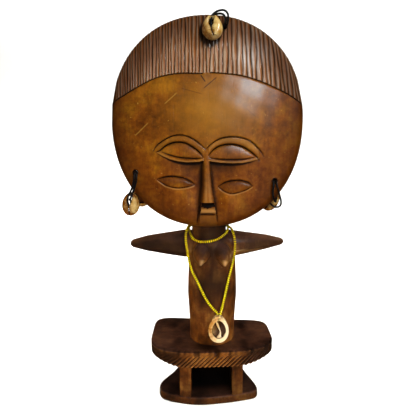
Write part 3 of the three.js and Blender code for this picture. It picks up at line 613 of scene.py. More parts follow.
# The rim and the plain back: the grid's edge drawn round the rim in rings, and closed in the middle.
mode("EDIT")
bpy.ops.mesh.select_all(action="SELECT")
bpy.ops.mesh.remove_doubles(threshold=0.01)
bpy.ops.mesh.select_all(action="DESELECT")
bpy.ops.mesh.select_mode(type="EDGE")
bpy.ops.mesh.select_non_manifold()
share_now = 1.0
for share, off in rim_rings:
    bpy.ops.mesh.extrude_edges_move()
    bpy.ops.transform.resize(value=(share / share_now,) * 3, center_override=(0, 0, head_widest))
    mode("OBJECT")
    ring = np.array([v.select for v in head.data.vertices])
    points = read_points(head)
    points[ring, 1] = -off
    write_points(head, points)
    mode("EDIT")
    share_now = share
bpy.ops.mesh.edge_face_add()
bpy.ops.mesh.poke(offset=0.1)
bpy.ops.mesh.select_all(action="SELECT")
bpy.ops.mesh.normals_make_consistent(inside=False)
mode("OBJECT")


# Joins or cuts with another piece, which is then gone.
def boolean(piece, other, operation):
    modifier = piece.modifiers.new(operation, "BOOLEAN")
    modifier.operation = operation
    modifier.solver = "MANIFOLD"
    modifier.object = other
    bpy.context.view_layer.objects.active = piece
    bpy.ops.object.modifier_apply(modifier=modifier.name)
    bpy.data.objects.remove(other)


for x, h in cord_holes:
    bpy.ops.mesh.primitive_cylinder_add(vertices=24, radius=cord_hole_radius, depth=50, location=(x, 0, h),
                                        rotation=(pi / 2, 0, 0))
    boolean(head, bpy.context.object, "DIFFERENCE")


# Writes named marks on a piece's points, for its material to read.
def mark(piece, **marks):
    for name, values in marks.items():
        made = piece.data.attributes.new(name, "FLOAT", "POINT")
        made.data.foreach_set("value", np.asarray(values, float))


x, y, h = read_points(head).T
_, recess, worn, hair = carved(x, h)
front = eased((-y - 0.5) / 2.5)
# Painted shadow: the shell on the crown casts it on the hair below its lower left edge.
behind = np.hypot((x - 2.2) / 8.6, (h - 65.6) / 10.4)
recess = np.maximum(recess, 0.94 * (1 - eased((behind - 0.93) / 0.13)))
# Painted shade round the cord holes.
hole = np.min([np.hypot(x - hole_x, h - hole_h) for hole_x, hole_h in cord_holes], axis=0)
recess = np.maximum(recess * front, (hole < cord_hole_radius + 0.4) * 0.9)
# Painted glow of the light in the wax: a broad patch over the forehead, and over the hair, strongest at its upper
# right.
rubbed = 0.62 * spot((x - 6) / 30, (h - 12) / 24) * (1 - hair)
rubbed += hair * (0.2 + 0.75 * spot((x - 33) / 12, (h - 48) / 15))
rim = np.maximum(eased((share_of_disc(x, h) - 0.7 + 0.08 * hair) / 0.3), 1 - front)
mark(head, recess=recess, worn=worn * front, hair=hair * front, polished=rubbed * front, front=front, rim=rim)
head.data.transform(Matrix.Translation(metres(head_place)) @ Matrix.Rotation(-head_tilt, 4, "X")
                    @ Matrix.Scale(0.001, 4))
pick(head)
bpy.ops.object.shade_smooth_by_angle(angle=radians(40))


def reckoned(tree, operation, *values, **settings):
    return put(tree, "Math", dict(enumerate(values)), operation=operation, **settings).outputs[0]


def marked(tree, *names):
    return [put(tree, "Attribute", attribute_name=name).outputs["Fac"] for name in names]


def mixed(tree, share, first, second, **settings):
    return put(tree, "Mix", {0: share, 6: first, 7: second}, data_type="RGBA", **settings).outputs[2]


# Dark stained hardwood with wax on it: mottled stain, straight fine grain up the piece, open pores about
# 0.4 mm wide and 6 mm long, darker dirt and painted shade where the knife went deep, and paler wood where
# hands have worn it, with painted highlights.
def stained_wood(name, dark, middle, light, bare, grain_strength):
    finish, tree, shader, place = new_finish(name, IOR=1.45, Specular_IOR_Level=0.18, Coat_Roughness=0.2)
    mottle = noise(tree, place, 46, 6, 0.68)
    stain = ramp(tree, mottle, (0.34, dark), (0.66, light), (0.5, middle))
    along = put(tree, "Mapping", {"Vector": place, "Scale": (1, 1, 0.06)}).outputs["Vector"]
    grain = noise(tree, along, 620, 4)
    colour = mixed(tree, grain_strength, stain, ramp(tree, grain, (0.34, 0.55), (0.62, 1.0)), blend_type="MULTIPLY")
    dabs = ramp(tree, noise(tree, place, 190, 5, 0.72), (0.38, 0.5), (0.6, 1.0))
    colour = mixed(tree, 0.8, colour, dabs, blend_type="MULTIPLY")
    flecks = ramp(tree, noise(tree, place, 520, 3), (0.68, 0.0), (0.76, 0.6))
    pores = ramp(tree, grain, (0.28, 0.0), (0.42, 1.0))
    return finish, tree, shader, place, mottle, mixed(tree, flecks, colour, bare), pores, spread(
        tree, mottle, 0, 1, 0.36, 0.46)


face_wood, tree, shader, place, mottle, colour, pores, rough = stained_wood(
    "waxed_stained_wood", "#642f04", "#8c4b08", "#a8690e", "#d29a40", 0.4)
recess, worn, hair, rim, polished, front = marked(tree, "recess", "worn", "hair", "rim", "polished", "front")
# Painted glow lightens the forehead and turns the hair's ridges nearly white at the upper right; wear and painted
# highlights take a paler colour.
colour = mixed(tree, polished, colour, "#b57a1c")
dark_hair = mixed(tree, reckoned(tree, "MULTIPLY", hair, 0.75), colour, "#96520f")
patchy = spread(tree, mottle, 0.35, 0.65, 0.35)
evenly = put(tree, "Mix", {0: hair, 2: 0.85, 3: patchy}).outputs[0]
rubbed = mixed(tree, hair, "#c08a45", mixed(tree, polished, "#c8a67c", "#f8f6f4"))
colour = mixed(tree, reckoned(tree, "MULTIPLY", worn, evenly), dark_hair, rubbed)
colour = mixed(tree, reckoned(tree, "MULTIPLY", rim, 0.72), colour, "#3c1a05")
# Old scratches across the forehead: start and end on the disc, half width in mm, strength and colour. The
# tilt lifts the face a little over the disc's middle.
face_lift = 1.1
for (x, h), (to_x, to_h), width, strength, tone in (
        ((-21.7, 23), (-31.4, 14.6), 0.55, 0.45, "#c8933c"),
        ((-42.9, 1.6), (-53.5, -8.4), 0.55, 0.4, "#c8933c"),
        ((-4.9, 35.4), (-1.3, 30.3), 0.6, 0.85, "#2a1204"),
        ((7.2, 34.1), (-3.1, 25.5), 0.5, 0.75, "#33170a"),
        ((-19.6, 26.1), (-3.6, 21.8), 0.45, 0.45, "#4a260a"),
        ((28, 12), (36, 5), 0.35, 0.35, "#4a260a")):
    length = hypot(to_x - x, to_h - h)
    onto = put(tree, "Mapping",
               {"Vector": place, "Location": metres((head_place[0] + x, 0,
                                                     head_place[2] + face_lift + cos(head_tilt) * h)),
                "Rotation": (0, -atan2(to_h - h, to_x - x), 0), "Scale": metres((length, 1000, width))},
               vector_type="TEXTURE")
    split = put(tree, "SeparateXYZ", {"Vector": onto.outputs["Vector"]}).outputs
    thin = spread(tree, reckoned(tree, "ABSOLUTE", split["Z"]), 1.0, 0.4)
    from_middle = reckoned(tree, "ABSOLUTE", reckoned(tree, "SUBTRACT", split["X"], 0.5))
    here = reckoned(tree, "MULTIPLY", thin, spread(tree, from_middle, 0.5, 0.38, 0, strength))
    colour = mixed(tree, reckoned(tree, "MULTIPLY", here, front), colour, tone)
# Dirt and painted shade: in the carved lines and grooves, under the lids, beside and under the nose, and behind the
# crown's shell.
colour = mixed(tree, recess, colour, "#120802")
# The back still shows the flat cuts of the knife, about 13 mm across.
cuts = put(tree, "TexVoronoi", {"Vector": place, "Scale": 78}, feature="SMOOTH_F1").outputs["Distance"]
not_front = reckoned(tree, "SUBTRACT", 1.0, front)
wire(tree, shader, Base_Color=colour, Coat_Weight=reckoned(tree, "MULTIPLY_ADD", rim, -0.5, 0.55),
     Roughness=reckoned(tree, "MULTIPLY_ADD", recess, 0.35, rough),
     Normal=bumped(tree, cuts, not_front, 0.006, Normal=bumped(tree, pores, 0.35, 0.0002)))
head.data.materials.clear()
head.data.materials.append(face_wood)
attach(head, "root")
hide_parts("figure")


# Body and stool, of the same block of wood as the head: a round column with two cone arms and small breasts,
# on a crescent seat with a chip carved rim, two slab legs and a foot. Cut with an adze and a knife.
body_centre = 3.4
column_rings = ((40, 18.5), (60, 18.5), (74, 19.2), (88, 20.1), (103, 19.7), (118, 19), (128, 18.6), (133.5, 17.2),
                (136.8, 14.6), (138.3, 9))
neck_centre = 0.8
neck_rings = ((126, 0, 13.7, 13.7), (138, 0, 13.7, 13.6), (150, -0.6, 13.7, 13.2), (160, -2, 13, 11.2),
              (168, -3.6, 11.6, 8.4), (175, -5, 9, 5.2), (179, -6, 5, 2))
arm_centre = -0.9
arm_rings = ((-61.9, 0.8, 130.4), (-61.2, 2.2, 130.4), (-59.4, 3.5, 130.4), (-48, 6.6, 130.6), (-33, 9.2, 130.5),
             (-18, 11.5, 130.5), (18, 11.6, 130.4), (33, 8.9, 131), (48, 6.1, 131.8), (59.4, 3.1, 132.1),
             (61.2, 2, 132.1), (61.9, 0.8, 132.1))
arm_section = ((0, 1), (-0.4, 0.84), (-0.72, 0.5), (-0.91, 0.06), (-0.98, -0.3), (-1.0, -0.37), (-0.98, -0.42),
               (-0.94, -0.48), (-0.78, -0.66), (-0.45, -0.88),
               (0, -1), (0.5, -0.84), (0.78, -0.55), (0.95, -0.2), (0.95, 0.2), (0.78, 0.56), (0.5, 0.84))
breast_places = (((-3.6, -11, 130.5), (-5.9, -23.2, 119.3)), ((10.2, -11, 130.5), (12.8, -23.2, 119)))
breast_radii = (6, 6.8, 7.2, 7.3, 7, 6.3, 5.2, 3.7, 2.3, 1)


# A piece drawn out from a flat outline, ring by ring: each ring is its middle and its size across each axis.
def drawn_out(name, outline, rings):
    pick()
    bpy.ops.mesh.primitive_circle_add(vertices=len(outline), radius=1, fill_type="NGON")
    bar = bpy.context.object
    bar.name = bar.data.name = name
    (start, size), *rest = rings
    write_points(bar, np.array(outline) * size + start)
    mode("EDIT")
    bpy.ops.mesh.select_all(action="SELECT")
    for middle, next_size in rest:
        bpy.ops.mesh.extrude_region_move(
            TRANSFORM_OT_translate={"value": tuple(np.subtract(middle, start)), "orient_type": "GLOBAL"})
        bpy.ops.transform.resize(value=tuple(b / a for a, b in zip(size, next_size)), center_override=middle)
        start, size = middle, next_size
    bpy.ops.mesh.select_all(action="SELECT")
    bpy.ops.mesh.normals_make_consistent(inside=False)
    mode("OBJECT")
    return bar


def ring_of(sides):
    return [(cos(2 * pi * k / sides), sin(2 * pi * k / sides), 0) for k in range(sides)]


body = drawn_out("figure_body", ring_of(40), [((body_centre, 0, z), (r, r, 1)) for z, r in column_rings])
neck = drawn_out("neck", ring_of(32), [((neck_centre, y, z), (across, deep, 1)) for z, y, across, deep in neck_rings])
arms = drawn_out("arms", [(0, y, up) for y, up in arm_section],
                 [((arm_centre + x, 0, z), (1, high * 0.87, high)) for x, high, z in arm_rings])
breasts = []
for root, tip in breast_places:
    root, tip = Vector(root), Vector(tip)
    along = (tip - root).normalized()
    steps = len(breast_radii) - 1
    cone = drawn_out("breast", ring_of(28),
                     [((0, 0, k / steps * (tip - root).length), (r, r, 1)) for k, r in enumerate(breast_radii)])
    up = Vector((1, 0, 0)).cross(along)
    cone.data.transform(Matrix.Translation(root) @ Matrix((Vector((1, 0, 0)), up, along)).transposed().to_4x4())
    breasts.append(cone)

# The seat, as rows of points round its section, drawn along its length. Its front rim is a row of slanted cuts,
# really 2.1 to 2.7 mm apart but drawn 3.5 mm apart so that they show, and larger chips are out of its top edge.
seat_centre, seat_half = 2.9, 50
rim_pitch, rim_slant, rim_depth = 3.5, 13, 1.7
chip_pitch, chip_depth = 5.3, 0.8
end_skew = 0.06


def seat_edge(x, front):
    share = np.minimum(1, np.abs((x - seat_centre) / seat_half))
    power = 3.5 if front else 6
    full = -29.8 + 0.055 * x if front else 28.4 - 0.06 * x
    return full * (1 - share ** power) ** (1 / power)


def seat_top(x):
    return 50 + 1.2 * ((x - seat_centre) / seat_half) ** 2


def seat_under(x):
    return 37 + 7 * eased((np.abs(x - seat_centre) - 22) / 30)


# How much of the slanted cuts is left at a height up the rim (0 to 1), and how deep the chips over them are.
def rim_zone(u):
    return 1 - 0.9 * eased((u - 0.58) / 0.2)


def rim_chip(x, u):
    wander = x + 1.3 * np.sin(0.37 * x) + 0.6 * np.sin(1.13 * x + 1)
    phase = np.mod(wander / chip_pitch, 1)
    big = 0.6 + 0.4 * np.sin(2.4 * np.floor(wander / chip_pitch))
    half = 0.06 + 0.34 * big * eased((u - 0.5) / 0.5)
    return np.clip(1.1 - np.abs(phase - 0.66 + 0.25 * u) / half, 0, 1) * big * eased((u - 0.52) / 0.2)


cuts = round(2 * (seat_half - 1) / rim_pitch)
ends = np.array((0, 0.00002, 0.00015, 0.0006, 0.0015))
stations = np.concatenate([ends, np.linspace(0.003, 0.997, 6 * cuts - 1), 1 - ends[::-1]])
plain_x = seat_centre + seat_half * (2 * stations - 1)
fade = np.minimum(1, 5 * stations) * np.minimum(1, 5 * (1 - stations))
valley = rim_depth * fade * (1 - np.abs(np.sin(pi * stations * cuts)) ** 0.9)
wall = np.array((0, 0.06, 0.2, 0.4, 0.55, 0.68, 0.8, 0.92, 1))
section = []
for u in wall:
    x = plain_x + rim_slant * fade * u
    worn_edge = 0.5 * fade * (np.clip(0.07 - u, 0, 1) + np.clip(u - 0.9, 0, 1)) * 10
    chip = rim_chip(x, u) * fade
    y = seat_edge(x, True) * (0.985 + 0.015 * u) + valley * rim_zone(u) + worn_edge * 0.6 + 1.3 * chip
    section.append((x, y, seat_under(x) + (seat_top(x) - seat_under(x)) * u - chip_depth * chip * (u > 0.9)
                    - 0.25 * fade * (u == 1)))
front_x, front_y, front_z = section[-1]
for v in (0.02, 0.05, 0.1, 0.2, 0.35, 0.5, 0.65, 0.8, 0.92, 0.98):
    x = front_x + (plain_x - front_x) * v
    y = front_y + (seat_edge(plain_x, False) - front_y) * v
    sunk = front_z - seat_top(front_x)
    z = seat_top(x) + sunk * (1 - eased(v / 0.07)) + 0.12 * np.sin(0.5 * x + 0.3 * y) * fade * eased(v / 0.1)
    section.append((x, y, z))
for u in wall[::-1]:
    back = seat_edge(plain_x, False)
    section.append((plain_x, back - 0.8 * (1 - u) * fade, seat_under(plain_x)
                    + (seat_top(plain_x) - seat_under(plain_x)) * u))
under_back, under_front = section[-1], section[0]
for v in (0.15, 0.35, 0.5, 0.65, 0.85):
    x = under_back[0] + (under_front[0] - under_back[0]) * v
    section.append((x, under_back[1] + (under_front[1] - under_back[1]) * v, seat_under(x)))
section.append(section[0])
section = np.array(section)
# The right end is a little skewed: its front corner stands out farther than its back one.
section[:, 0] -= end_skew * eased((section[:, 0] - 15) / 30) * section[:, 1]


def closed_up(piece, merge):
    mode("EDIT")
    bpy.ops.mesh.select_all(action="SELECT")
    bpy.ops.mesh.remove_doubles(threshold=merge)
    bpy.ops.mesh.normals_make_consistent(inside=False)
    mode("OBJECT")


seat = skin("seat", section)
closed_up(seat, 0.002)
legs = []
for (outer, outer_front), (inner, inner_front) in (((-23.2, -21.9), (-13.5, -24.1)), ((28.6, -19), (19.6, -21.2))):
    pick()
    bpy.ops.mesh.primitive_cube_add(size=2)
    leg = bpy.context.object
    leg.name = "leg"
    points = read_points(leg)
    plan = {(-1, -1): (min(outer, inner), outer_front if outer < inner else inner_front),
            (1, -1): (max(outer, inner), inner_front if outer < inner else outer_front),
            (-1, 1): (min(outer, inner), 23), (1, 1): (max(outer, inner), 23)}
    placed = np.array([(*plan[int(np.sign(p[0])), int(np.sign(p[1]))], 5 if p[2] < 0 else 40) for p in points])
    write_points(leg, placed)
    mode("EDIT")
    bpy.ops.mesh.select_all(action="SELECT")
    bpy.ops.mesh.bevel(offset=0.9, segments=3)
    mode("OBJECT")
    legs.append(leg)

foot_outline = drawn_through(((-30.5, -21), (-10, -25.2), (12, -23.2), (30, -19.4), (40, -15.6), (41.2, -7),
                              (34.8, 10), (28, 26), (16, 31), (-12, 31.5), (-24, 27), (-31, 13), (-40.4, -3),
                              (-39.4, -15), (-30.5, -21)), 8)[:-1]
foot = drawn_out("foot", [(x, y, 0) for x, y in foot_outline],
                 [((0, 0, 0), (1, 1, 1)), ((0, 0, 7), (0.995, 0.995, 1))])
open_at_edges(foot, lambda start, end: abs(start.z - end.z) < 0.1)
bpy.ops.mesh.bevel(offset=1.5, segments=4)
mode("OBJECT")

for part in (neck, arms, *breasts, seat, *legs, foot):
    boolean(body, part, "UNION")
points = read_points(body)
x, y, z = points.T
at_rim = (z > 36) & (z < 52) & (y < seat_edge(x, True) * 0.985 + 3)
up = np.clip((z - seat_under(x)) / (seat_top(x) - seat_under(x)), 0, 1)
unskewed = x + end_skew * eased((x - 15) / 30) * y
drawn = unskewed - rim_slant * up * np.clip((54 - np.abs(x - seat_centre)) / 10, 0, 1)
share = (drawn - seat_centre + seat_half) / (2 * seat_half)
# Dirt and painted shade in the rim's slanted cuts and chips.
cut = np.clip(1.25 - 1.5 * np.abs(np.sin(pi * share * cuts)), 0, 1) * rim_zone(up)
cut = np.maximum(cut, 0.9 * rim_chip(unskewed, up) ** 0.7)
to_end = eased((np.abs(x - seat_centre) - 8) / 26)
# Smoke and painted shade: the arms, the neck and the breast are the darkest. The left arm is painted darker
# than the right, and the middle of the column darker from the belly up, as shade, while the breasts' tips and
# the right arm's underside are left lighter, as painted light.
out = np.abs(x - body_centre)
arm = (z > 112) & (out > 18.5)
arm_half = np.interp(out, (18, 33, 48, 60), (11.5, 9, 6.2, 3))
chest = 0.96 * eased((z - 62) / 36) * (1 - eased((out - 8) / 10)) * (1 - 0.2 * eased((z - 138) / 5))
tip = np.min([np.linalg.norm(points - np.array(tip), axis=1) for _, tip in breast_places], axis=0)
under_arm = (x > 0) & (z < 130.7 - 0.4 * arm_half)
smoked = np.where(arm, np.where(x < 0, 0.94, 0.84 - 0.45 * under_arm), chest * (1 - 0.95 * spot(tip / 7.5)))
for there, least in ((at_rim, 0.85 * to_end), (z < 7.4, 0.6), ((z < 39) & (x > 15), 0.3)):
    smoked = np.maximum(smoked, np.where(there, least, 0))
# Painted shade lies round the column's foot, over the middle of the seat and on top of the foot.
foot_soot = 0.9 * spot((z - 50) / 7) * (0.45 + 0.55 * eased((8 - x) / 16))
seat_soot = 0.95 * spot((x + 2) / 13, (y + 21) / 8)
soot = np.where((z > 46) & (z < 66), np.where(z > 53, foot_soot, seat_soot), 0)
soot = np.where((z > 6.9) & (z < 7.2), 0.5, soot)
# Painted highlights: the breasts' tips and the crease of the right arm, where it leaves the body.
glints = sum(0.85 * spot(np.linalg.norm(points - np.array(tip), axis=1) / 1.5)
             for tip in ((-4.6, -23.8, 121), (13.4, -23.8, 121)))
crease = np.abs(z - 130.5 + 0.38 * arm_half)
along_arm = np.clip((x - 14) / 4, 0, 1) * np.clip((34 - x) / 8, 0, 1)
glints += 0.75 * np.clip(1 - crease / 0.9, 0, 1) * along_arm * (y < -4)
mark(body, recess=np.where(at_rim, cut, 0), rim_wood=np.where(at_rim, 0.55 * (1 - cut) * (1 - to_end), 0),
     soot=soot, glints=glints, smoked=smoked)
body.data.transform(Matrix.Scale(0.001, 4))
pick(body)
bpy.ops.object.shade_smooth_by_angle(angle=radians(35))

body_wood, tree, shader, place, mottle, colour, pores, rough = stained_wood(
    "dark_waxed_wood", "#2e1707", "#6a3a14", "#94622b", "#a67840", 0.6)
recess, rim_wood, smoked, soot, glints = marked(tree, "recess", "rim_wood", "smoked", "soot", "glints")
geometry = put(tree, "NewGeometry").outputs
# Smoke and painted shade.
colour = mixed(tree, smoked, colour, "#1e120a")
colour = mixed(tree, reckoned(tree, "MULTIPLY", rim_wood, 0.8), colour, "#88521f")
# Faces that look up are the darkest: painted shade, and smoke and old wax lie on them.
facing = put(tree, "SeparateXYZ", {"Vector": geometry["Normal"]}).outputs["Z"]
seat_tone = ramp(tree, mottle, (0.38, "#180e0b"), (0.66, "#4b3026"))
colour = mixed(tree, spread(tree, facing, 0.3, 0.8, 0, 0.84), colour, seat_tone)
colour = mixed(tree, soot, colour, "#070302")
# Painted shade: the inside of the stool is nearly black.
at = put(tree, "SeparateXYZ", {"Vector": place}).outputs
inside = reckoned(tree, "MULTIPLY", reckoned(tree, "COMPARE", at["X"], 0.0031, 0.0172),
                  reckoned(tree, "LESS_THAN", at["Z"], 0.0385))
unlit = reckoned(tree, "MULTIPLY", inside, spread(tree, at["Y"], -0.021, -0.006, 0, 0.93))
colour = mixed(tree, unlit, colour, "#050302")
# Dirt and painted shade in the rim's cuts.
colour = mixed(tree, recess, colour, "#0e0602")
handled = spread(tree, geometry["Pointiness"], 0.53, 0.62, 0, 0.6)
# Pale edges where hands wore them, and painted highlights.
colour = mixed(tree, glints, mixed(tree, handled, colour, "#8f5f34"), "#cfa468")
wire(tree, shader, Base_Color=colour, Roughness=reckoned(tree, "MULTIPLY_ADD", smoked, 0.35, rough),
     Coat_Weight=reckoned(tree, "MULTIPLY_ADD", smoked, -0.26, 0.3),
     Normal=bumped(tree, mottle, 0.5, 0.0006, Normal=bumped(tree, pores, 0.4, 0.0002)))
body.data.materials.clear()
body.data.materials.append(body_wood)
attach(body, "root")
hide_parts("figure")


# Cowrie shells: each has its back cut off flat, so it is a smooth cup with a toothed slit along its belly.
# A cord through the slit holds it. The shell on the beads hangs with its cut side to the front.
cowries = {
    "crown_shell": ("crown_cowrie", 15.9, 15, 7, (3.1, -8.6, 291.8), (-0.24, -0.06, 0), 0.34, 1.15, 0.02),
    "left_ear_shell_front": ("left_ear_cowrie_front", 18, 13.2, 6, (-58.9, -12.4, 165.6), (0, 0.1, 0), 1, 1, 0.1),
    "left_ear_shell_back": ("left_ear_cowrie_back", 17.6, 13, 6, (-53.2, -4, 169.9), (0, -0.3, pi), 0.7, 0.4, 0.13),
    "right_ear_shell": ("right_ear_cowrie", 16.6, 12.6, 6, (49.6, 0.8, 165.2), (0, 0.75, 0), 1.1, 0.4, 0.13),
    "pendant_shell": ("pendant_cowrie", 22.4, 16.1, 6, (8.3, -25.1, 67.2), (0, 0, pi), 0.3, 1, 0.13),
}
# The section round the lip: how far from the slit (0) to the widest outline (1), and how deep, in shares. It
# goes on inside the shell, from the slit to the edge of the cut.
shell_section = ((0.965, 0), (1.0, -0.07), (1.0, -0.2), (0.97, -0.42), (0.9, -0.62), (0.78, -0.8), (0.62, -0.93),
                 (0.44, -1.0), (0.28, -1.01), (0.15, -0.98), (0.06, -0.92), (0.01, -0.82), (0.0, -0.75))
inner_section = ((0.08, -0.72), (0.3, -0.75), (0.6, -0.74), (0.85, -0.66), (0.98, -0.45), (1.03, -0.25), (1.0, -0.06),
                 (1.06, 0))
glossy_shell, tree, shader, place = new_finish("glossy_cowrie_shell", Roughness=0.22, IOR=1.53, Coat_Weight=1,
                                               Coat_Roughness=0.2)
flank, tan, pale, deep = marked(tree, "flank", "tan", "pale", "deep")
cream = ramp(tree, noise(tree, place, 240, 4), (0.3, "#b98430"), (0.7, "#efd28a"))
flecks = spread(tree, noise(tree, place, 380, 3), 0.36, 0.66)
browned = reckoned(tree, "MULTIPLY", reckoned(tree, "MULTIPLY", tan, flecks), flank)
more = reckoned(tree, "MULTIPLY_ADD", browned, 1.6, spread(tree, tan, 0.35, 1.6, 0, 0.7), use_clamp=True)
colour = mixed(tree, more, mixed(tree, pale, cream, "#d6c8aa"), "#7c4512")
# Painted shade in the slit and inside the cup.
wire(tree, shader, Base_Color=mixed(tree, deep, colour, "#3a1508"))

for name, (node, length, width, depth, at, turned, brown, gape, taper) in cowries.items():
    around = np.linspace(0, 2 * pi, 161)
    outline = np.array((np.cos(around) * width / 2 * (1 - taper * np.sin(around)), np.sin(around) * length / 2))
    slit_h = length * (0.03 + 0.45 * np.sin(around))
    opening = np.array((-0.02 * width + np.cos(around) * width * 0.33 * (1 - 0.16 * np.sin(around)),
                        -0.005 * length + np.sin(around) * length * 0.35))
    half = gape * np.interp(slit_h / length, (-0.34, -0.05, 0.1, 0.47), (0.06, 0.08, 1.3, 1.6))
    teeth = np.cos(2 * pi * slit_h / 1.25)
    bow = -0.07 * width * (1 - (2.8 * slit_h / length) ** 2)
    slit = np.array((bow + np.sign(np.cos(around)) * np.abs(np.cos(around)) ** 0.35 * half, slit_h))
    opened = 1 - 0.68 * spot((around - pi / 2) / 0.27) - 0.22 * spot((around - 3 * pi / 2) / 0.2)
    rows = []
    for share, down in shell_section:
        lip = spot((share - 0.08) / 0.12) * (down < -0.65)
        flat = slit + (outline - slit) * share
        flat[0] = flat[0] - 0.22 * teeth * lip * np.sign(np.cos(around))
        rows.append((flat[0], depth * down * opened + 0.16 * teeth * lip, flat[1]))
    for share, down in inner_section:
        flat = slit + (opening - slit) * share
        rows.append((flat[0], depth * down * (1 - share + share * opened), flat[1]))
    rows.append(rows[0])
    shell = skin(name, np.array(rows))
    closed_up(shell, 0.002)
    own_points = len(shell.data.vertices)
    if name == "pendant_shell":
        # The pale inner whorl, laid bare where the shell's back was cut away.
        whorl = drawn_out("whorl", ring_of(12), [
            ((x, -2.6, h), (across, 1.5, 1)) for x, h, across in (
                (1.9, 7.3, 0.3), (1.6, 6.1, 0.7), (1.25, 4.5, 1), (0.7, 2.8, 1.1), (0.1, 1.2, 0.9),
                (-0.6, -0.3, 0.6), (-1.2, -1.8, 0.45), (-1.5, -3.2, 0.55), (-1.3, -4.6, 0.85), (-0.9, -6, 1.3),
                (-0.6, -7.6, 1.9))])
        pick(shell, whorl)
        bpy.ops.object.join()
    x, y, h = read_points(shell).T
    angle, out = np.arctan2(h / length, x / width), np.hypot(h / length, x / width) * 2
    # The shell's own mottled brown, with painted shade: browner on its left, away from the light, and on the shells
    # that hang in shade.
    tan = np.clip(brown + 0.4 * np.cos(angle - 3.5 + turned[2]), 0, 1.6)
    pale = np.clip(1 - 1.4 * tan, 0, 1) * (0.85 if name == "pendant_shell" else 0)
    from_slit = x + 0.07 * width * (1 - (2.8 * h / length) ** 2)
    lip = np.clip(1.6 - np.abs(np.abs(from_slit) - 1.2) / 0.8, 0, 1) * (y < -0.7 * depth)
    # Painted shade between the teeth, in the shut lower part of the slit and inside the cup, with a painted spot of
    # light inside the cup.
    between_teeth = np.clip(-np.cos(2 * pi * h / 1.25), 0, 1) * 0.75 * lip
    shut = 0.98 * spot(from_slit / 0.75) * eased((0.08 - h / length) / 0.08)
    between_teeth = np.maximum(between_teeth, shut * (h > -0.44 * length) * (y < -0.5 * depth))
    inside = (y > -0.86 * depth) & (out < 0.76) & (y < -0.12 * depth)
    deep = np.where(inside, 0.95 - 0.3 * spot((x - 3.8) / 1.6, (h + 2.8) / 3.4), between_teeth)
    deep[own_points:] = 0
    mark(shell, flank=np.clip(out, 0, 1) ** 2, tan=tan, pale=pale, deep=deep)
    shell.data.transform(Matrix.Translation(metres(at)) @ Matrix.Rotation(turned[0], 4, "X")
                         @ Matrix.Rotation(turned[1], 4, "Y") @ Matrix.Rotation(turned[2], 4, "Z")
                         @ Matrix.Scale(0.001, 4))
    bpy.ops.object.shade_smooth_by_angle(angle=radians(50))
    shell.data.materials.append(glossy_shell)
    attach(shell, "root")
    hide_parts(node)


# Bead strand: small yellow glass beads with rounded ends on a thin line, wound twice round the neck and bare
# through the top of the hanging shell. The real ones are about 2.3 mm across and 1.2 to 1.4 mm apart. They are
# drawn 2 mm across and 1.62 mm apart, because closer ones run together.
bead_pitch = 1.62
bead_size = 1.98
bare_thread = 5.4
strand_route = (
    (8.1, -24.5, 74.5), (8, -22.9, 74.9), (7.8, -22.1, 77.2), (7.1, -21.9, 80), (3.4, -22, 84.2),
    (-0.5, -21.7, 89.6), (-4.4, -20.7, 96.7), (-8.3, -18.6, 104.7), (-12.3, -15.4, 111.6), (-14.4, -13.4, 117.4),
    (-15.5, -13.2, 123), (-16.3, -13.6, 129), (-17.1, -13, 134.4), (-17.4, -10.6, 139.4), (-16.6, -6, 143.9),
    (-14.4, 0, 146.3), (-10.6, 10.6, 146.8), (0.8, 15.6, 147.2), (12, 10.8, 146.6), (15.9, 0, 145.6),
    (14.8, -8, 142.2), (10.5, -13, 139.4), (6, -15.6, 137.6), (0.8, -16.5, 136.6), (-4.3, -16.4, 136.2),
    (-8.8, -14.9, 136.6), (-12.4, -11.2, 138.2), (-14.5, -5.5, 141.8), (-15, 1.5, 143.9), (-10.8, 11, 143.4),
    (0.8, 16, 143.4), (12.6, 10.8, 143), (18, 0.5, 143.4), (19.6, -7, 141.8), (20.7, -11.6, 138),
    (21.1, -13.4, 133.6), (20.9, -14, 129), (20.2, -14.2, 123.3), (18.7, -15.3, 115.9), (16.3, -18, 107.3),
    (14.4, -19.6, 98.9), (12.5, -20.8, 90.4), (10.9, -21.9, 84), (9.8, -24.1, 80.6), (9, -25.9, 78.5),
    (8.4, -26.1, 76))
strand = drawn_through((*strand_route, strand_route[0]), 12)
run = np.concatenate([[0], np.cumsum(np.linalg.norm(np.diff(strand, axis=0), axis=1))])


def along_strand(distance):
    return np.array([np.interp(distance, run, strand[:, k]) for k in range(3)])


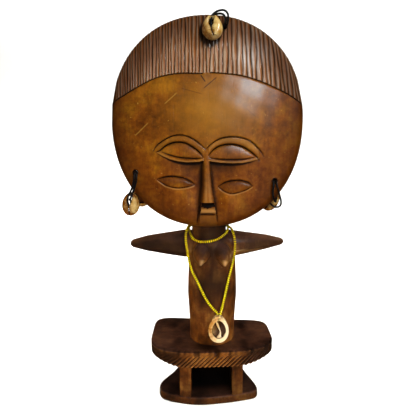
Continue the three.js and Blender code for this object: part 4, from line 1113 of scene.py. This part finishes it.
pick()
bpy.ops.mesh.primitive_cylinder_add(vertices=10, radius=bead_size / 2, depth=bead_pitch * 0.96)
bead = bpy.context.object
mode("EDIT")
bpy.ops.mesh.select_all(action="SELECT")
bpy.ops.mesh.bevel(offset=0.54, segments=2)
mode("OBJECT")
one_bead = read_points(bead)
chance = np.random.default_rng(7)
count = round((run[-1] - 2.2 * bare_thread) / bead_pitch)
bead_places = bare_thread + (np.arange(count) + 0.5) * (run[-1] - 2.2 * bare_thread) / count
beads = [bead]
for _ in range(count - 1):
    copy = bead.copy()
    copy.data = bead.data.copy()
    bpy.context.collection.objects.link(copy)
    beads.append(copy)
tones, joints = [], []
for copy, distance in zip(beads, bead_places):
    here = along_strand(distance)
    onward = Vector(along_strand(min(distance + 0.5, run[-1])) - along_strand(distance - 0.5)).normalized()
    tilt = onward + Vector(chance.uniform(-0.09, 0.09, 3))
    size = chance.uniform(0.93, 1.04)
    write_points(copy, one_bead * (size, size, chance.uniform(0.92, 1.02)))
    copy.data.transform(Matrix.Translation(here) @ tilt.to_track_quat("Z", "Y").to_matrix().to_4x4())
    # Each bead's tone varies at random; painted shade makes the beads up round the neck darker, under the head, and
    # those lower down brighter.
    tones += [chance.uniform(0.1, 0.5) + 0.5 * float(np.clip((137 - here[2]) / 24, 0, 1))] * len(one_bead)
    # Painted shade at each bead's ends, where it meets the next.
    joints += list(np.clip(np.abs(one_bead[:, 2]) / (bead_pitch * 0.48) * 2.6 - 0.9, 0, 1))
pick(*beads)
bpy.ops.object.join()
bead.name = bead.data.name = "yellow_bead_strand"
mark(bead, tone=tones, joint=joints)
bead.data.transform(Matrix.Scale(0.001, 4))
bpy.ops.object.shade_smooth_by_angle(angle=radians(60))
yellow_glass, tree, shader, place = new_finish("yellow_seed_bead_glass", Roughness=0.18, IOR=1.51, Coat_Weight=0.3,
                                               Subsurface_Weight=0.1, Subsurface_Scale=0.001)
tone, joint = marked(tree, "tone", "joint")
yellows = ramp(tree, tone, (0.0, "#c49a10"), (1.0, "#ffee1c"), (0.5, "#f8d814"))
colour = mixed(tree, spread(tree, noise(tree, place, 1400, 2), 0, 1, 0, 0.1), yellows, "#b08e10")
# Painted shade lies between the beads.
wire(tree, shader, Base_Color=mixed(tree, joint, colour, "#261a06"))
bead.data.materials.append(yellow_glass)
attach(bead, "root")
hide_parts("bead_necklace")

thread = cord_along("bead_thread", strand_route, 0.7, True, 2)
bpy.ops.object.convert(target="MESH")
bpy.ops.object.shade_smooth()
pale_line, tree, shader, place = new_finish("pale_waxed_thread", Roughness=0.6)
wire(tree, shader, Base_Color=ramp(tree, noise(tree, place, 3000, 2), (0.3, "#8d7a3a"), (0.7, "#c9b86a")))
thread.data.materials.append(pale_line)
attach(thread, "root")
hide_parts("bead_necklace")
